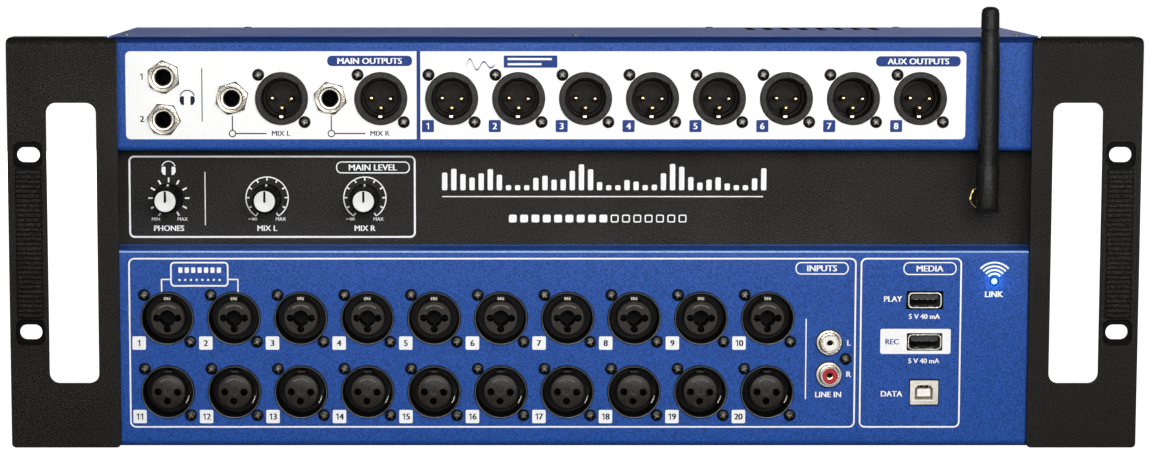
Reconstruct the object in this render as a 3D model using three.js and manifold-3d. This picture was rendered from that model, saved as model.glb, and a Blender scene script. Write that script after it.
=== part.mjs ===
// Rack-mount wireless stage mixer: a four-unit steel chassis between two rack ears.
// Millimetres. X runs to the right seen from the front, Y to the back and Z up.
// Depths in this file are counted from the front plane of the ears, heights from their lower edge.
// The last group moves the whole unit so that the origin is under the middle of its box.

import * as THREE from 'three';
import { mergeVertices } from 'three/addons/utils/BufferGeometryUtils.js';
import Module from 'manifold-3d';

const wasm = await Module();
wasm.setup();

// ---------------------------------------------------------------- driving dimensions

const clearance = 0.3;           // between neighbouring pieces
const sheet = 1.5;               // chassis steel

const rackWidth = 482.6;         // nineteen-inch panel width
const rackHeight = 176;          // four rack units, less the usual play
const slotSpacingX = 465.1;      // rack screw spacing across the unit
const slotSpacingZ = 76.2;       // spacing of the two slots of one ear
const earInnerX = 194.5;
const earThickness = 2.6;
const earFlangeDepth = 100;

const bodyWidth = 399;
const bodyDepth = 118;
const bodyTop = 175.9;
const lowerFace = 3;             // depth of the lower connector face
const upperFace = 8;             // depth of the upper connector face
const middleFace = 20;           // depth of the recessed control face
const lowerFaceTop = 85;
const upperFaceBottom = 127.1;

const receptaclePitch = 28.6;
const outputRowZ = 149.65;
const comboRowZ = 55.6;
const inputRowZ = 23.7;
const firstOutputX = -52.3;
const firstInputX = -174.3;
const mixOutputX = [-125, -82.6];

const noseRadius = 11.25;        // round front of every three-pin receptacle
const noseProud = 1.2;
const housingDepth = 17;
const housingWidth = 25.4;
const housingHeight = 26.4;
const roundSides = 12;

const phonesJackX = -175.3;
const phonesJackZ = [158.8, 140.7];
const mixJackX = [-146.2, -104.2];
const mixJackZ = 149.8;

const phonoX = 109.6;
const phonoZ = [45.15, 31.2];
const phonoLength = 4.8;

const playPort = { x: 150.4, z: 63.4 };
const recordPort = { x: 150.5, z: 45.4 };
const hostPort = { x: 150.6, z: 23.5 };
const lamp = { x: 180, z: 71.6 };

const knobX = { phones: -174.9, mixL: -132.4, mixR: -90.1 };
const knobZ = 105.8;
const knobRadius = 6.3;
const knobFront = 4;

const antenna = { x: 176.3, z: 106.1 };
const mastDepth = 2;             // depth of the mast's axis
const forkRadius = 4.7;
const mastTop = 189;

const inlet = { x: -160, z: 118 };
const rocker = { x: -112, z: 118 };
const rockerProud = 3.4;

// ---------------------------------------------------------------- materials

function material(color, roughness, metalness) {
  return new THREE.MeshStandardMaterial({ color, roughness, metalness });
}

const bluePaint = material(0x2d57ad, 0.45, 0.2);
const blackPaint = material(0x1d1d1f, 0.6, 0.1);
const coverPaint = material(0x2f4f8f, 0.5, 0.2);
const blackPlastic = material(0x171718, 0.45, 0);
const satinRubber = material(0x141416, 0.6, 0);
const nickel = material(0xc2bfb6, 0.3, 1);
const gold = material(0xc9a24a, 0.3, 1);
const boardGreen = material(0x1f5a3a, 0.5, 0);
const whitePlastic = material(0xe8e8e6, 0.4, 0);
const cyanLamp = material(0x35c8f0, 0.3, 0);
const caseSteel = material(0xa8abad, 0.4, 1);

// ---------------------------------------------------------------- solids

const alongX = new THREE.Matrix4().makeBasis(
  new THREE.Vector3(0, 1, 0), new THREE.Vector3(0, 0, 1), new THREE.Vector3(1, 0, 0));

// A closed geometry as a solid; triangles that shrink to a line on an axis are dropped.
function toSolid(geometry) {
  const bare = geometry.clone();
  bare.deleteAttribute('normal');
  bare.deleteAttribute('uv');
  const merged = mergeVertices(bare, 1e-4);
  const corners = merged.index.array;
  const triangles = [];
  for (let i = 0; i < corners.length; i += 3) {
    const [a, b, c] = [corners[i], corners[i + 1], corners[i + 2]];
    if (a !== b && b !== c && c !== a) triangles.push(a, b, c);
  }
  return new wasm.Manifold(new wasm.Mesh({
    numProp: 3,
    vertProperties: merged.attributes.position.array,
    triVerts: Uint32Array.from(triangles),
  }));
}

function join(...solids) {
  return solids.reduce((whole, piece) => whole.add(piece));
}

function cut(solid, ...tools) {
  return tools.reduce((rest, tool) => rest.subtract(tool), solid);
}

// A block from its low and high values along each axis.
function block([x0, x1], [y0, y1], [z0, z1]) {
  const geometry = new THREE.BoxGeometry(x1 - x0, y1 - y0, z1 - z0);
  geometry.translate((x0 + x1) / 2, (y0 + y1) / 2, (z0 + z1) / 2);
  return toSolid(geometry);
}

// A block given by its middle and width across X and Z, and its two depths.
function panelBlock(x, z, width, height, front, back) {
  return block([x - width / 2, x + width / 2], [front, back], [z - height / 2, z + height / 2]);
}

// A round bar along Y; its first corner points up unless it is turned.
function rod(x, z, radius, front, back, sides = roundSides, turn = 0) {
  const geometry = new THREE.CylinderGeometry(radius, radius, back - front, sides);
  geometry.rotateY(turn);
  geometry.translate(x, (front + back) / 2, z);
  return toSolid(geometry);
}

// A solid of revolution round the upright line at x, y; the profile runs counter-clockwise.
function turned(x, y, profile, sides) {
  const points = profile.map(([radius, height]) => new THREE.Vector2(radius, height));
  const geometry = new THREE.LatheGeometry(points, sides);
  geometry.rotateX(Math.PI / 2);
  geometry.translate(x, y, 0);
  return toSolid(geometry);
}

// An outline in X and Z, extruded from one depth to another.
function plate(shape, front, back, curveSegments = 3) {
  const geometry = new THREE.ExtrudeGeometry(
    shape, { depth: back - front, bevelEnabled: false, curveSegments });
  geometry.rotateX(Math.PI / 2);
  geometry.translate(0, back, 0);
  return toSolid(geometry);
}

// An outline in Y and Z, extruded from one X to another.
function extrusion(shape, x0, x1, curveSegments = 3) {
  const geometry = new THREE.ExtrudeGeometry(
    shape, { depth: x1 - x0, bevelEnabled: false, curveSegments });
  geometry.applyMatrix4(alongX);
  geometry.translate(x0, 0, 0);
  return toSolid(geometry);
}

function roundedRectangle(a0, a1, b0, b1, radius) {
  const shape = new THREE.Shape();
  shape.moveTo(a0 + radius, b0);
  shape.lineTo(a1 - radius, b0);
  shape.absarc(a1 - radius, b0 + radius, radius, -Math.PI / 2, 0);
  shape.lineTo(a1, b1 - radius);
  shape.absarc(a1 - radius, b1 - radius, radius, 0, Math.PI / 2);
  shape.lineTo(a0 + radius, b1);
  shape.absarc(a0 + radius, b1 - radius, radius, Math.PI / 2, Math.PI);
  shape.lineTo(a0, b0 + radius);
  shape.absarc(a0 + radius, b0 + radius, radius, Math.PI, 1.5 * Math.PI);
  return shape;
}

// The outline of a bent sheet. Each corner is [y, z, inner bend radius]; the sheet's thickness
// lies to the left of the way from the first corner to the last.
function bentSheet(corners, thickness, bendSteps = 3) {
  const path = corners.map(([y, z]) => new THREE.Vector2(y, z));
  const leftOf = (way) => new THREE.Vector2(-way.y, way.x);
  const wayFrom = (i) => path[i + 1].clone().sub(path[i]).normalize();
  const last = path.length - 1;
  const outer = [path[0]];
  const inner = [path[0].clone().addScaledVector(leftOf(wayFrom(0)), thickness)];
  for (let i = 1; i < last; i += 1) {
    const before = wayFrom(i - 1);
    const after = wayFrom(i);
    const turn = Math.atan2(before.cross(after), before.dot(after));
    const bend = corners[i][2];
    const outerRadius = turn > 0 ? bend + thickness : bend;
    const innerRadius = turn > 0 ? bend : bend + thickness;
    const toCentre = leftOf(before).multiplyScalar(Math.sign(turn));
    const centre = path[i].clone()
      .addScaledVector(before, -outerRadius * Math.tan(Math.abs(turn) / 2))
      .addScaledVector(toCentre, outerRadius);
    for (let step = 0; step <= bendSteps; step += 1) {
      const spoke = toCentre.clone().negate()
        .rotateAround(new THREE.Vector2(), turn * step / bendSteps);
      outer.push(centre.clone().addScaledVector(spoke, outerRadius));
      inner.push(centre.clone().addScaledVector(spoke, innerRadius));
    }
  }
  outer.push(path[last]);
  inner.push(path[last].clone().addScaledVector(leftOf(wayFrom(last - 1)), thickness));
  return new THREE.Shape([...outer, ...inner.reverse()]);
}

// ---------------------------------------------------------------- the unit

const unit = new THREE.Group();

function add(name, surface, solid) {
  const { vertProperties, triVerts, numProp } = solid.getMesh();
  const corners = new Float32Array(vertProperties.length / numProp * 3);
  for (let i = 0; i < corners.length / 3; i += 1) {
    for (let axis = 0; axis < 3; axis += 1) {
      corners[3 * i + axis] = vertProperties[numProp * i + axis];
    }
  }
  const geometry = new THREE.BufferGeometry();
  geometry.setAttribute('position', new THREE.BufferAttribute(corners, 3));
  geometry.setIndex(new THREE.BufferAttribute(Uint32Array.from(triVerts), 1));
  const mesh = new THREE.Mesh(geometry, surface);
  mesh.name = name;
  unit.add(mesh);
}

const outputs = [
  { name: 'xlr_out_mix_l', x: mixOutputX[0] },
  { name: 'xlr_out_mix_r', x: mixOutputX[1] },
];
for (let i = 0; i < 8; i += 1) {
  outputs.push({ name: `xlr_out_${i + 1}`, x: firstOutputX + receptaclePitch * i });
}
const inputs = [];
for (let i = 0; i < 10; i += 1) {
  inputs.push({ number: i + 1, x: firstInputX + receptaclePitch * i });
}
const jacks = [
  { name: 'phones_jack_1', x: phonesJackX, z: phonesJackZ[0], nutTurn: 0.2 },
  { name: 'phones_jack_2', x: phonesJackX, z: phonesJackZ[1], nutTurn: 0.75 },
  { name: 'mix_jack_l', x: mixJackX[0], z: mixJackZ, nutTurn: 0.45 },
  { name: 'mix_jack_r', x: mixJackX[1], z: mixJackZ, nutTurn: 0.95 },
];
const knobs = [
  { name: 'phones_knob', x: knobX.phones },
  { name: 'mix_l_knob', x: knobX.mixL },
  { name: 'mix_r_knob', x: knobX.mixR },
];

// ---- casings

const innerHalfWidth = bodyWidth / 2 - sheet - clearance;
const coverUnderside = bodyTop - sheet;
const flangeTop = coverUnderside - clearance;
const noseHoleRadius = noseRadius + 0.4;
const jackThreadRadius = 4.75;
const phonoDiscRadius = 5.5;
const bushingRadius = 3.5;
const socketThreadRadius = 3.2;
const lampRadius = 1.8;

function frontPanel() {
  const profile = bentSheet([
    [40, flangeTop, 0],
    [16.5, flangeTop, 0.2],
    [14.7, bodyTop, 0.2],
    [upperFace, bodyTop, 2.5],
    [upperFace, upperFaceBottom, 0.8],
    [middleFace, upperFaceBottom, 0.6],
    [middleFace, lowerFaceTop, 0.6],
    [lowerFace, lowerFaceTop, 1],
    [lowerFace, 0, 1.5],
    [14, 0, 0],
  ], sheet);
  const panel = extrusion(profile, -innerHalfWidth, innerHalfWidth);
  const through = (x, z, radius, face, sides) => rod(x, z, radius, face - 1, face + sheet + 1, sides);
  const slotThrough = (x, z, width, height) =>
    panelBlock(x, z, width, height, lowerFace - 1, lowerFace + sheet + 1);
  const holes = [];
  for (const output of outputs) {
    holes.push(through(output.x, outputRowZ, noseHoleRadius, upperFace));
  }
  for (const input of inputs) {
    holes.push(through(input.x, comboRowZ, noseHoleRadius, lowerFace));
    holes.push(through(input.x, inputRowZ, noseHoleRadius, lowerFace));
  }
  for (const jack of jacks) {
    holes.push(through(jack.x, jack.z, jackThreadRadius + 0.4, upperFace));
  }
  for (const z of phonoZ) {
    holes.push(through(phonoX, z, phonoDiscRadius + 0.4, lowerFace));
  }
  for (const knob of knobs) {
    holes.push(through(knob.x, knobZ, bushingRadius + 0.35, middleFace, 8));
  }
  holes.push(through(antenna.x, antenna.z, socketThreadRadius + 0.35, middleFace, 8));
  holes.push(through(lamp.x, lamp.z, lampRadius + 0.35, lowerFace, 8));
  holes.push(slotThrough(playPort.x, playPort.z, 15.2, 7.6));
  holes.push(slotThrough(recordPort.x, recordPort.z, 15.2, 7.6));
  holes.push(slotThrough(hostPort.x, hostPort.z, 12.7, 11.3));
  return cut(panel, ...holes);
}

function topCover() {
  const coverFront = 16.8;
  const ventCount = 8;
  const firstVentX = 82.5;
  const ventPitch = 8.06;
  const lid = block(
    [-bodyWidth / 2, bodyWidth / 2], [coverFront, bodyDepth], [coverUnderside, bodyTop]);
  const flanges = [-1, 1].map((side) => {
    const edges = [side * innerHalfWidth, side * (innerHalfWidth - sheet)].sort((a, b) => a - b);
    return block(edges, [50, 100], [coverUnderside - 14, coverUnderside + 0.5]);
  });
  const vents = [];
  for (let i = 0; i < ventCount; i += 1) {
    const x = firstVentX + ventPitch * i;
    vents.push(block([x - 1.8, x + 1.8], [86, 112], [coverUnderside - 1, bodyTop + 1]));
  }
  return cut(join(lid, ...flanges), ...vents);
}

function bottomTray() {
  const wallFront = lowerFace + clearance;
  const floorFront = 14 + clearance;
  const half = bodyWidth / 2;
  return join(
    block([-half, half], [floorFront, bodyDepth], [0, sheet]),
    block([-half, -half + sheet], [wallFront, bodyDepth], [0, flangeTop]),
    block([half - sheet, half], [wallFront, bodyDepth], [0, flangeTop]));
}

const boardTop = 13.6;           // upper side of the main board
const networkPort = { x: 0, width: 16, height: 13.4, z: boardTop + clearance + 6.7 };
const rearSockets = [
  { x: 40, width: 14.4, height: 15, cavityHeight: 11.5 },
  { x: 75, width: 15, height: 6, cavityHeight: 4.2 },
  { x: 110, width: 12, height: 11, cavityHeight: 8 },
].map((socket) => ({ ...socket, z: boardTop - 0.4 + socket.height / 2 }));
const inletBody = { width: 27, height: 19.6 };
const rockerBody = { width: 19, height: 12.6 };

function rearPanel() {
  const front = bodyDepth - sheet;
  const across = [-innerHalfWidth, innerHalfWidth];
  const bottom = sheet + clearance;
  const opening = (place, width, height) =>
    panelBlock(place.x, place.z, width + 0.8, height + 0.8, front - 1, bodyDepth + 1);
  const wall = join(
    block(across, [front, bodyDepth], [bottom, flangeTop]),
    block(across, [front - 11, front + 0.5], [bottom, bottom + sheet]),
    block(across, [front - 11, front + 0.5], [flangeTop - sheet, flangeTop]));
  return cut(
    wall,
    opening(inlet, inletBody.width, inletBody.height),
    opening(rocker, rockerBody.width, rockerBody.height),
    opening(networkPort, networkPort.width, networkPort.height),
    ...rearSockets.map((socket) => opening(socket, socket.width, socket.height)));
}

function rackEar(side) {
  const span = (a, b) => [side * a, side * b].sort((p, q) => p - q);
  const [x0, x1] = span(earInnerX, rackWidth / 2);
  const bent = extrusion(
    bentSheet([[14, rackHeight, 0], [0, rackHeight, 1.6], [0, 0, 0]], earThickness), x0, x1);
  const outline = plate(roundedRectangle(x0, x1, 0, rackHeight, 3), -1, 15);
  const [flange0, flange1] = span(bodyWidth / 2 + 0.4, bodyWidth / 2 + 2.4);
  const flange = extrusion(
    roundedRectangle(1, earFlangeDepth, 0, rackHeight - 1.2, 1), flange0, flange1);
  const handleX = side * 214.2;
  const handle = plate(
    roundedRectangle(handleX - 10.75, handleX + 10.75, 27.75, 148.25, 4.4), -1, earThickness + 1);
  const overBody = block(
    span(earInnerX - 1, bodyWidth / 2 + 0.4), [earThickness, 16], [-1, rackHeight + 1]);
  const cuts = [handle, overBody];
  for (const level of [-1, 1]) {
    const x = side * slotSpacingX / 2;
    const z = rackHeight / 2 + level * slotSpacingZ / 2;
    cuts.push(plate(roundedRectangle(x - 4.8, x + 4.8, z - 3.2, z + 3.2, 3.1), -1, 4));
    cuts.push(plate(roundedRectangle(x - 6.2, x + 6.2, z - 5.6, z + 5.6, 3), -1, 0.8));
  }
  return cut(join(bent.intersect(outline), flange), ...cuts);
}

// ---- receptacles

// The boxed housing behind the panel and the round nose that passes through it.
function receptacleBody(x, z, face) {
  const behind = face + sheet + clearance;
  return join(
    panelBlock(x, z, housingWidth, housingHeight, behind, behind + housingDepth),
    rod(x, z, noseRadius, face - noseProud, behind + 1));
}

function maleReceptacle(x, z) {
  const front = upperFace - noseProud;
  const floor = front + 13;
  const pinPlaces = [[-4.1, 0], [4.1, -0.3], [0, -4.2]];
  const shell = cut(receptacleBody(x, z, upperFace), rod(x, z, 8.45, front - 1, floor));
  const pins = pinPlaces.map(([dx, dz]) => rod(x + dx, z + dz, 1.2, front + 1.8, floor + 1, 6));
  return join(shell, ...pins);
}

function femaleReceptacle(x, z) {
  const front = lowerFace - noseProud;
  const groove = cut(rod(x, z, 10.2, front - 1, front + 9), rod(x, z, 7.4, front - 2, front + 10));
  const holePlaces = [[-4.3, 0], [4, -0.2], [-0.4, -4]];
  const holes = holePlaces.map(([dx, dz]) => rod(x + dx, z + dz, 1.5, front - 1, front + 10, 6));
  return cut(receptacleBody(x, z, lowerFace), groove, ...holes);
}

function comboReceptacle(x, z) {
  const front = lowerFace - noseProud;
  const groove = cut(rod(x, z, 10.2, front - 1, front + 9), rod(x, z, 7.5, front - 2, front + 10));
  const lobePlaces = [[-4.4, 0], [4.4, 0], [0, -4.4]];
  const lobes = lobePlaces.map(([dx, dz]) => rod(x + dx, z + dz, 1.3, front - 1, front + 9, 6));
  const bore = rod(x, z, 3.3, front - 1, front + 19, 8);
  return cut(receptacleBody(x, z, lowerFace), groove, bore, ...lobes);
}

// A quarter-inch jack: thread and hexagon nut in front of the sheet, housing behind it.
function phoneJack({ x, z, nutTurn }) {
  const behind = upperFace + sheet + clearance;
  const nutBack = upperFace - clearance;
  const front = upperFace - 3.4;
  const body = join(
    rod(x, z, jackThreadRadius, front, behind + 1),
    rod(x, z, 7.8, nutBack - 2, nutBack, 6, nutTurn),
    panelBlock(x, z, 13, 16, behind, behind + housingDepth));
  return cut(body, rod(x, z, 3.3, front - 1, front + 16));
}

function twinPhono() {
  const behind = lowerFace + sheet + clearance;
  const middleZ = (phonoZ[0] + phonoZ[1]) / 2;
  const barrels = phonoZ.map((z) => join(
    rod(phonoX, z, phonoDiscRadius, lowerFace - 0.5, behind + 1),
    rod(phonoX, z, 4.1, lowerFace - phonoLength, behind + 1)));
  const bores = phonoZ.map(
    (z) => rod(phonoX, z, 1.6, lowerFace - phonoLength - 1, lowerFace + 2, 8));
  const housing = panelBlock(phonoX, middleZ, 13, 28, behind, behind + housingDepth);
  return cut(join(housing, ...barrels), ...bores);
}

function typeAPort({ x, z }) {
  const front = lowerFace - 0.4;
  const back = lowerFace + sheet + clearance + housingDepth;
  const shell = panelBlock(x, z, 14.4, 6.8, front, back);
  const mouth = panelBlock(x, z, 12.9, 5.4, front - 1, front + 12);
  const tongue = panelBlock(x, z + 1.2, 11.2, 1.8, front + 1, front + 12.5);
  return join(cut(shell, mouth), tongue);
}

function typeBPort({ x, z }) {
  const front = lowerFace - 0.4;
  const back = lowerFace + sheet + clearance + housingDepth;
  const mouthOutline = new THREE.Shape();
  mouthOutline.moveTo(x - 4.3, z - 3.6);
  mouthOutline.lineTo(x + 4.3, z - 3.6);
  mouthOutline.lineTo(x + 4.3, z + 1.6);
  mouthOutline.lineTo(x + 2.8, z + 3.3);
  mouthOutline.lineTo(x - 2.8, z + 3.3);
  mouthOutline.lineTo(x - 4.3, z + 1.6);
  const shell = panelBlock(x, z, 12, 10.5, front, back);
  const tongue = panelBlock(x, z - 0.2, 5.6, 3.2, front + 1, front + 10.5);
  return join(cut(shell, plate(mouthOutline, front - 1, front + 10)), tongue);
}

// ---- controls

// The board with its three rotary controls, whose threaded bushings pass through the panel.
function controlBoard() {
  const potFront = middleFace + sheet + clearance;
  const boardFront = 31;
  const board = block([-190, -72], [boardFront, boardFront + 1.6], [91, 121]);
  const pots = knobs.map(({ x }) => join(
    panelBlock(x, knobZ, 12, 12, potFront, boardFront + 0.5),
    rod(x, knobZ, bushingRadius, 15.6, potFront + 1)));
  const bores = knobs.map(({ x }) => rod(x, knobZ, 3.1, 15, 29.6));
  return cut(join(board, ...pots), ...bores);
}

function knob({ x }) {
  const back = middleFace - 0.5;
  const shaftRadius = 2.8;
  const skirt = cut(
    rod(x, knobZ, knobRadius, knobFront, back, 16),
    rod(x, knobZ, 4.4, 14.8, back + 1));
  return join(skirt, rod(x, knobZ, shaftRadius, 14.4, 29, 8));
}

// ---- aerial

function antennaSocket() {
  const front = 11.5;
  const behind = middleFace + sheet + clearance;
  const nutBack = middleFace - clearance;
  const body = join(
    rod(antenna.x, antenna.z, socketThreadRadius, front, behind + 8, 8),
    rod(antenna.x, antenna.z, 4.85, nutBack - 1.8, nutBack, 6),
    rod(antenna.x, antenna.z, 4.8, behind, behind + 1.5, 8));
  return cut(body, rod(antenna.x, antenna.z, 2.1, front - 1, front + 8, 8));
}

// Collar that turns on the socket, with the flat tongue that carries the mast.
function antennaElbow() {
  const collarFront = 7.6;
  const collarBack = 17;
  const tongueHalf = 1.8;
  const tongueRadius = 3.5;
  const tongue = new THREE.Shape();
  tongue.moveTo(collarFront + 0.5, antenna.z + tongueRadius);
  tongue.lineTo(mastDepth, antenna.z + tongueRadius);
  tongue.absarc(mastDepth, antenna.z, tongueRadius, Math.PI / 2, 1.5 * Math.PI);
  tongue.lineTo(collarFront + 0.5, antenna.z - tongueRadius);
  const collar = rod(antenna.x, antenna.z, forkRadius, collarFront, collarBack);
  const recess = rod(antenna.x, antenna.z, 3.9, 10.8, collarBack + 1);
  return join(
    cut(collar, recess),
    extrusion(tongue, antenna.x - tongueHalf, antenna.x + tongueHalf, 6));
}

// Mast whose forked foot straddles the tongue; the slot is open to the back and below.
function antennaMast() {
  const slotHalf = 2.15;
  const slotTop = antenna.z + 4.4;
  const upright = turned(antenna.x, mastDepth, [
    [0, antenna.z - forkRadius],
    [forkRadius, antenna.z - forkRadius],
    [forkRadius, 121.8],
    [3.6, 123],
    [4.05, 137],
    [3.8, 178],
    [3.5, 187],
    [2.2, mastTop - 0.4],
    [0, mastTop],
  ], roundSides);
  const foot = new THREE.Shape();
  foot.moveTo(mastDepth + forkRadius, mastTop + 1);
  foot.lineTo(mastDepth - forkRadius, mastTop + 1);
  foot.lineTo(mastDepth - forkRadius, antenna.z);
  foot.absarc(mastDepth, antenna.z, forkRadius, Math.PI, 2 * Math.PI);
  const footOutline = extrusion(foot, antenna.x - 6, antenna.x + 6, 8);
  const slotRadius = 4.2;
  const slot = new THREE.Shape();
  slot.moveTo(mastDepth + 8, antenna.z - 8);
  slot.lineTo(mastDepth + 8, slotTop);
  slot.lineTo(mastDepth, slotTop);
  slot.absarc(mastDepth, antenna.z, slotRadius, Math.PI / 2, Math.PI);
  slot.lineTo(mastDepth - slotRadius, antenna.z - 8);
  const slotCut = extrusion(slot, antenna.x - slotHalf, antenna.x + slotHalf, 6);
  return cut(upright.intersect(footOutline), slotCut);
}

// ---- rear fittings

// Mains inlet: flange outside, body inside, three blades in the cavity.
function powerInlet() {
  const flangeFront = bodyDepth + clearance;
  const flangeBack = flangeFront + 2.4;
  const cavityFront = flangeBack - 16;
  const shell = join(
    panelBlock(inlet.x, inlet.z, 30.6, 22.8, flangeFront, flangeBack),
    panelBlock(inlet.x, inlet.z, inletBody.width, inletBody.height, 98, flangeBack));
  const bladeRecess = 5.5;
  const cavity = panelBlock(inlet.x, inlet.z, 24, 16.4, cavityFront, flangeBack + 1);
  const blades = [[-7, -1.8], [0, 2], [7, -1.8]].map(([dx, dz]) =>
    panelBlock(inlet.x + dx, inlet.z + dz, 2, 4, cavityFront - 1, flangeBack - bladeRecess));
  return join(cut(shell, cavity), ...blades);
}

function switchFrame() {
  const flangeFront = bodyDepth + clearance;
  const flangeBack = flangeFront + 1.8;
  const shell = join(
    panelBlock(rocker.x, rocker.z, 21, 15, flangeFront, flangeBack),
    panelBlock(rocker.x, rocker.z, rockerBody.width, rockerBody.height, 100, flangeBack));
  return cut(shell, panelBlock(rocker.x, rocker.z, 16.6, 10.6, 108, flangeBack + 1));
}

// Rocker with two faces that meet over the pivot; it tips about X, a little behind the panel.
function powerRocker() {
  const pivot = bodyDepth + 0.6;
  const outline = new THREE.Shape();
  outline.moveTo(pivot - 3.4, rocker.z - 2.4);
  outline.lineTo(pivot + 1, rocker.z - 4.6);
  outline.lineTo(pivot + 1.7, rocker.z);
  outline.lineTo(bodyDepth + rockerProud, rocker.z + 4.2);
  outline.lineTo(pivot - 0.4, rocker.z + 4.6);
  outline.lineTo(pivot - 3.4, rocker.z + 2.4);
  return extrusion(outline, rocker.x - 7.9, rocker.x + 7.9);
}

// ---- boards inside

function networkSocket() {
  const back = bodyDepth + 0.4;
  const { x, z, width, height } = networkPort;
  const shell = panelBlock(x, z, width, height, back - 21, back);
  const mouth = panelBlock(x, z - 0.6, 11.8, 7.6, back - 13, back + 1);
  const latchWay = panelBlock(x, z - 4.6, 6, 2, back - 13, back + 1);
  return cut(shell, mouth, latchWay);
}

function mainBoard() {
  const boardBottom = boardTop - 1.6;
  const back = bodyDepth + 0.4;
  const board = block([-50, 185], [40, 112], [boardBottom, boardTop]);
  const posts = [];
  for (const x of [-40, 175]) {
    for (const y of [48, 98]) {
      posts.push(block([x - 3, x + 3], [y - 3, y + 3], [sheet + clearance, boardBottom + 0.5]));
    }
  }
  const sockets = rearSockets.map(({ x, z, width, height, cavityHeight }) => cut(
    panelBlock(x, z, width, height, back - 16, back),
    panelBlock(x, z, width - 2, cavityHeight, back - 10, back + 1)));
  const processor = block([60, 100], [60, 90], [boardTop - 0.5, boardTop + 6]);
  return join(board, processor, ...posts, ...sockets);
}

function flatBoard([x0, x1], front, [z0, z1]) {
  return block([x0, x1], [front, front + 1.6], [z0, z1]);
}

function powerSupply() {
  const base = sheet + clearance;
  const transformer = block([-150, -118], [62, 92], [base + 2, base + 30]);
  const heatSink = block([-98, -95], [50, 102], [base + 2, base + 34]);
  const capacitors = [62, 80].map((y) => {
    const can = new THREE.CylinderGeometry(8, 8, 26, 10);
    can.rotateX(Math.PI / 2);
    can.translate(-172, y, base + 15);
    return toSolid(can);
  });
  const tray = block([-188, -85], [46, 104], [base, base + 3]);
  return join(tray, transformer, heatSink, ...capacitors);
}

// ---------------------------------------------------------------- assembly

add('front_panel', bluePaint, frontPanel());
add('top_cover', coverPaint, topCover());
add('bottom_tray', coverPaint, bottomTray());
add('rear_panel', coverPaint, rearPanel());
add('rack_ear_left', blackPaint, rackEar(-1));
add('rack_ear_right', blackPaint, rackEar(1));

for (const output of outputs) {
  add(output.name, blackPlastic, maleReceptacle(output.x, outputRowZ));
}
for (const input of inputs) {
  add(`combo_in_${input.number}`, blackPlastic, comboReceptacle(input.x, comboRowZ));
  add(`xlr_in_${input.number + 10}`, blackPlastic, femaleReceptacle(input.x, inputRowZ));
}
for (const jack of jacks) {
  add(jack.name, nickel, phoneJack(jack));
}
add('line_in_phono', whitePlastic, twinPhono());
add('play_port', nickel, typeAPort(playPort));
add('record_port', nickel, typeAPort(recordPort));
add('host_port', nickel, typeBPort(hostPort));
add('wifi_lamp', cyanLamp, rod(lamp.x, lamp.z, lampRadius, lowerFace - 0.8, lowerFace + 8, 8));

add('control_board', boardGreen, controlBoard());
for (const control of knobs) {
  add(control.name, blackPlastic, knob(control));
}

add('antenna_socket', gold, antennaSocket());
add('antenna_elbow', satinRubber, antennaElbow());
add('antenna_mast', satinRubber, antennaMast());

add('power_inlet', blackPlastic, powerInlet());
add('switch_frame', blackPlastic, switchFrame());
add('power_rocker', blackPlastic, powerRocker());
add('network_port', caseSteel, networkSocket());
add('main_board', boardGreen, mainBoard());

const upperBoardFront = upperFace + sheet + clearance + housingDepth + clearance;
const lowerBoardFront = lowerFace + sheet + clearance + housingDepth + clearance;
add('output_board', boardGreen, flatBoard([-190, 190], upperBoardFront, [130, 170]));
add('input_board', boardGreen, flatBoard([-190, 190], lowerBoardFront, [6, 80]));
add('power_supply', caseSteel, powerSupply());

// The box runs from the front of the aerial's foot to the raised edge of the rocker.
const frontmost = mastDepth - forkRadius;
const rearmost = bodyDepth + rockerProud;
unit.position.y = -(frontmost + rearmost) / 2;

const model = new THREE.Group();
model.add(unit);
export default model;
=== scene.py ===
"""Looks of the rack-mount wireless stage mixer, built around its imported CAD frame.

Shapes are written in millimetres in the unit's own terms: X to the right seen from the front, Y to
the back, Z up, and depths counted from the front plane of the rack ears. Each mesh is brought to
the row frame, in metres, when it becomes a piece.
"""

import math

import bmesh
import bpy
from mathutils import Matrix, Vector
from mathutils.geometry import tessellate_polygon


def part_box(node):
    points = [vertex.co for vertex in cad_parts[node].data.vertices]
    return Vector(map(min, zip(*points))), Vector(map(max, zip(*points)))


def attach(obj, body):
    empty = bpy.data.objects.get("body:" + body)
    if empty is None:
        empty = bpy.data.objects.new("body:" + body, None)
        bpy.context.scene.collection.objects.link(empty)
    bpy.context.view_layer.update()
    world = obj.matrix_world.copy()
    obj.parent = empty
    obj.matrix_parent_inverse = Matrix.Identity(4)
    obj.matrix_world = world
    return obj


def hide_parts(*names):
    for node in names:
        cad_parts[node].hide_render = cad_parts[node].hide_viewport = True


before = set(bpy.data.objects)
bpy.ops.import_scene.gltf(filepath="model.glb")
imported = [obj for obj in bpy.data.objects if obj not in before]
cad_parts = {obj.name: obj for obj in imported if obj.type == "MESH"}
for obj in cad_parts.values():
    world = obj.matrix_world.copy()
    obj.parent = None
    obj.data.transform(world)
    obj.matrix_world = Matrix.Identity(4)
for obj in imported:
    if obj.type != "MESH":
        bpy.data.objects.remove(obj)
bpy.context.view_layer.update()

MM = 0.001
EAR_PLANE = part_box("rack_ear_left")[0].y
ROW = Matrix.Translation((0, EAR_PLANE, 0)) @ Matrix.Scale(MM, 4)


def low(node):
    """Lowest corner of a CAD node, in millimetres."""
    return ROW.inverted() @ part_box(node)[0]


def high(node):
    """Highest corner of a CAD node, in millimetres."""
    return ROW.inverted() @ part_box(node)[1]


def middle(node):
    """Middle of a CAD node, in millimetres."""
    return (low(node) + high(node)) / 2


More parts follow.
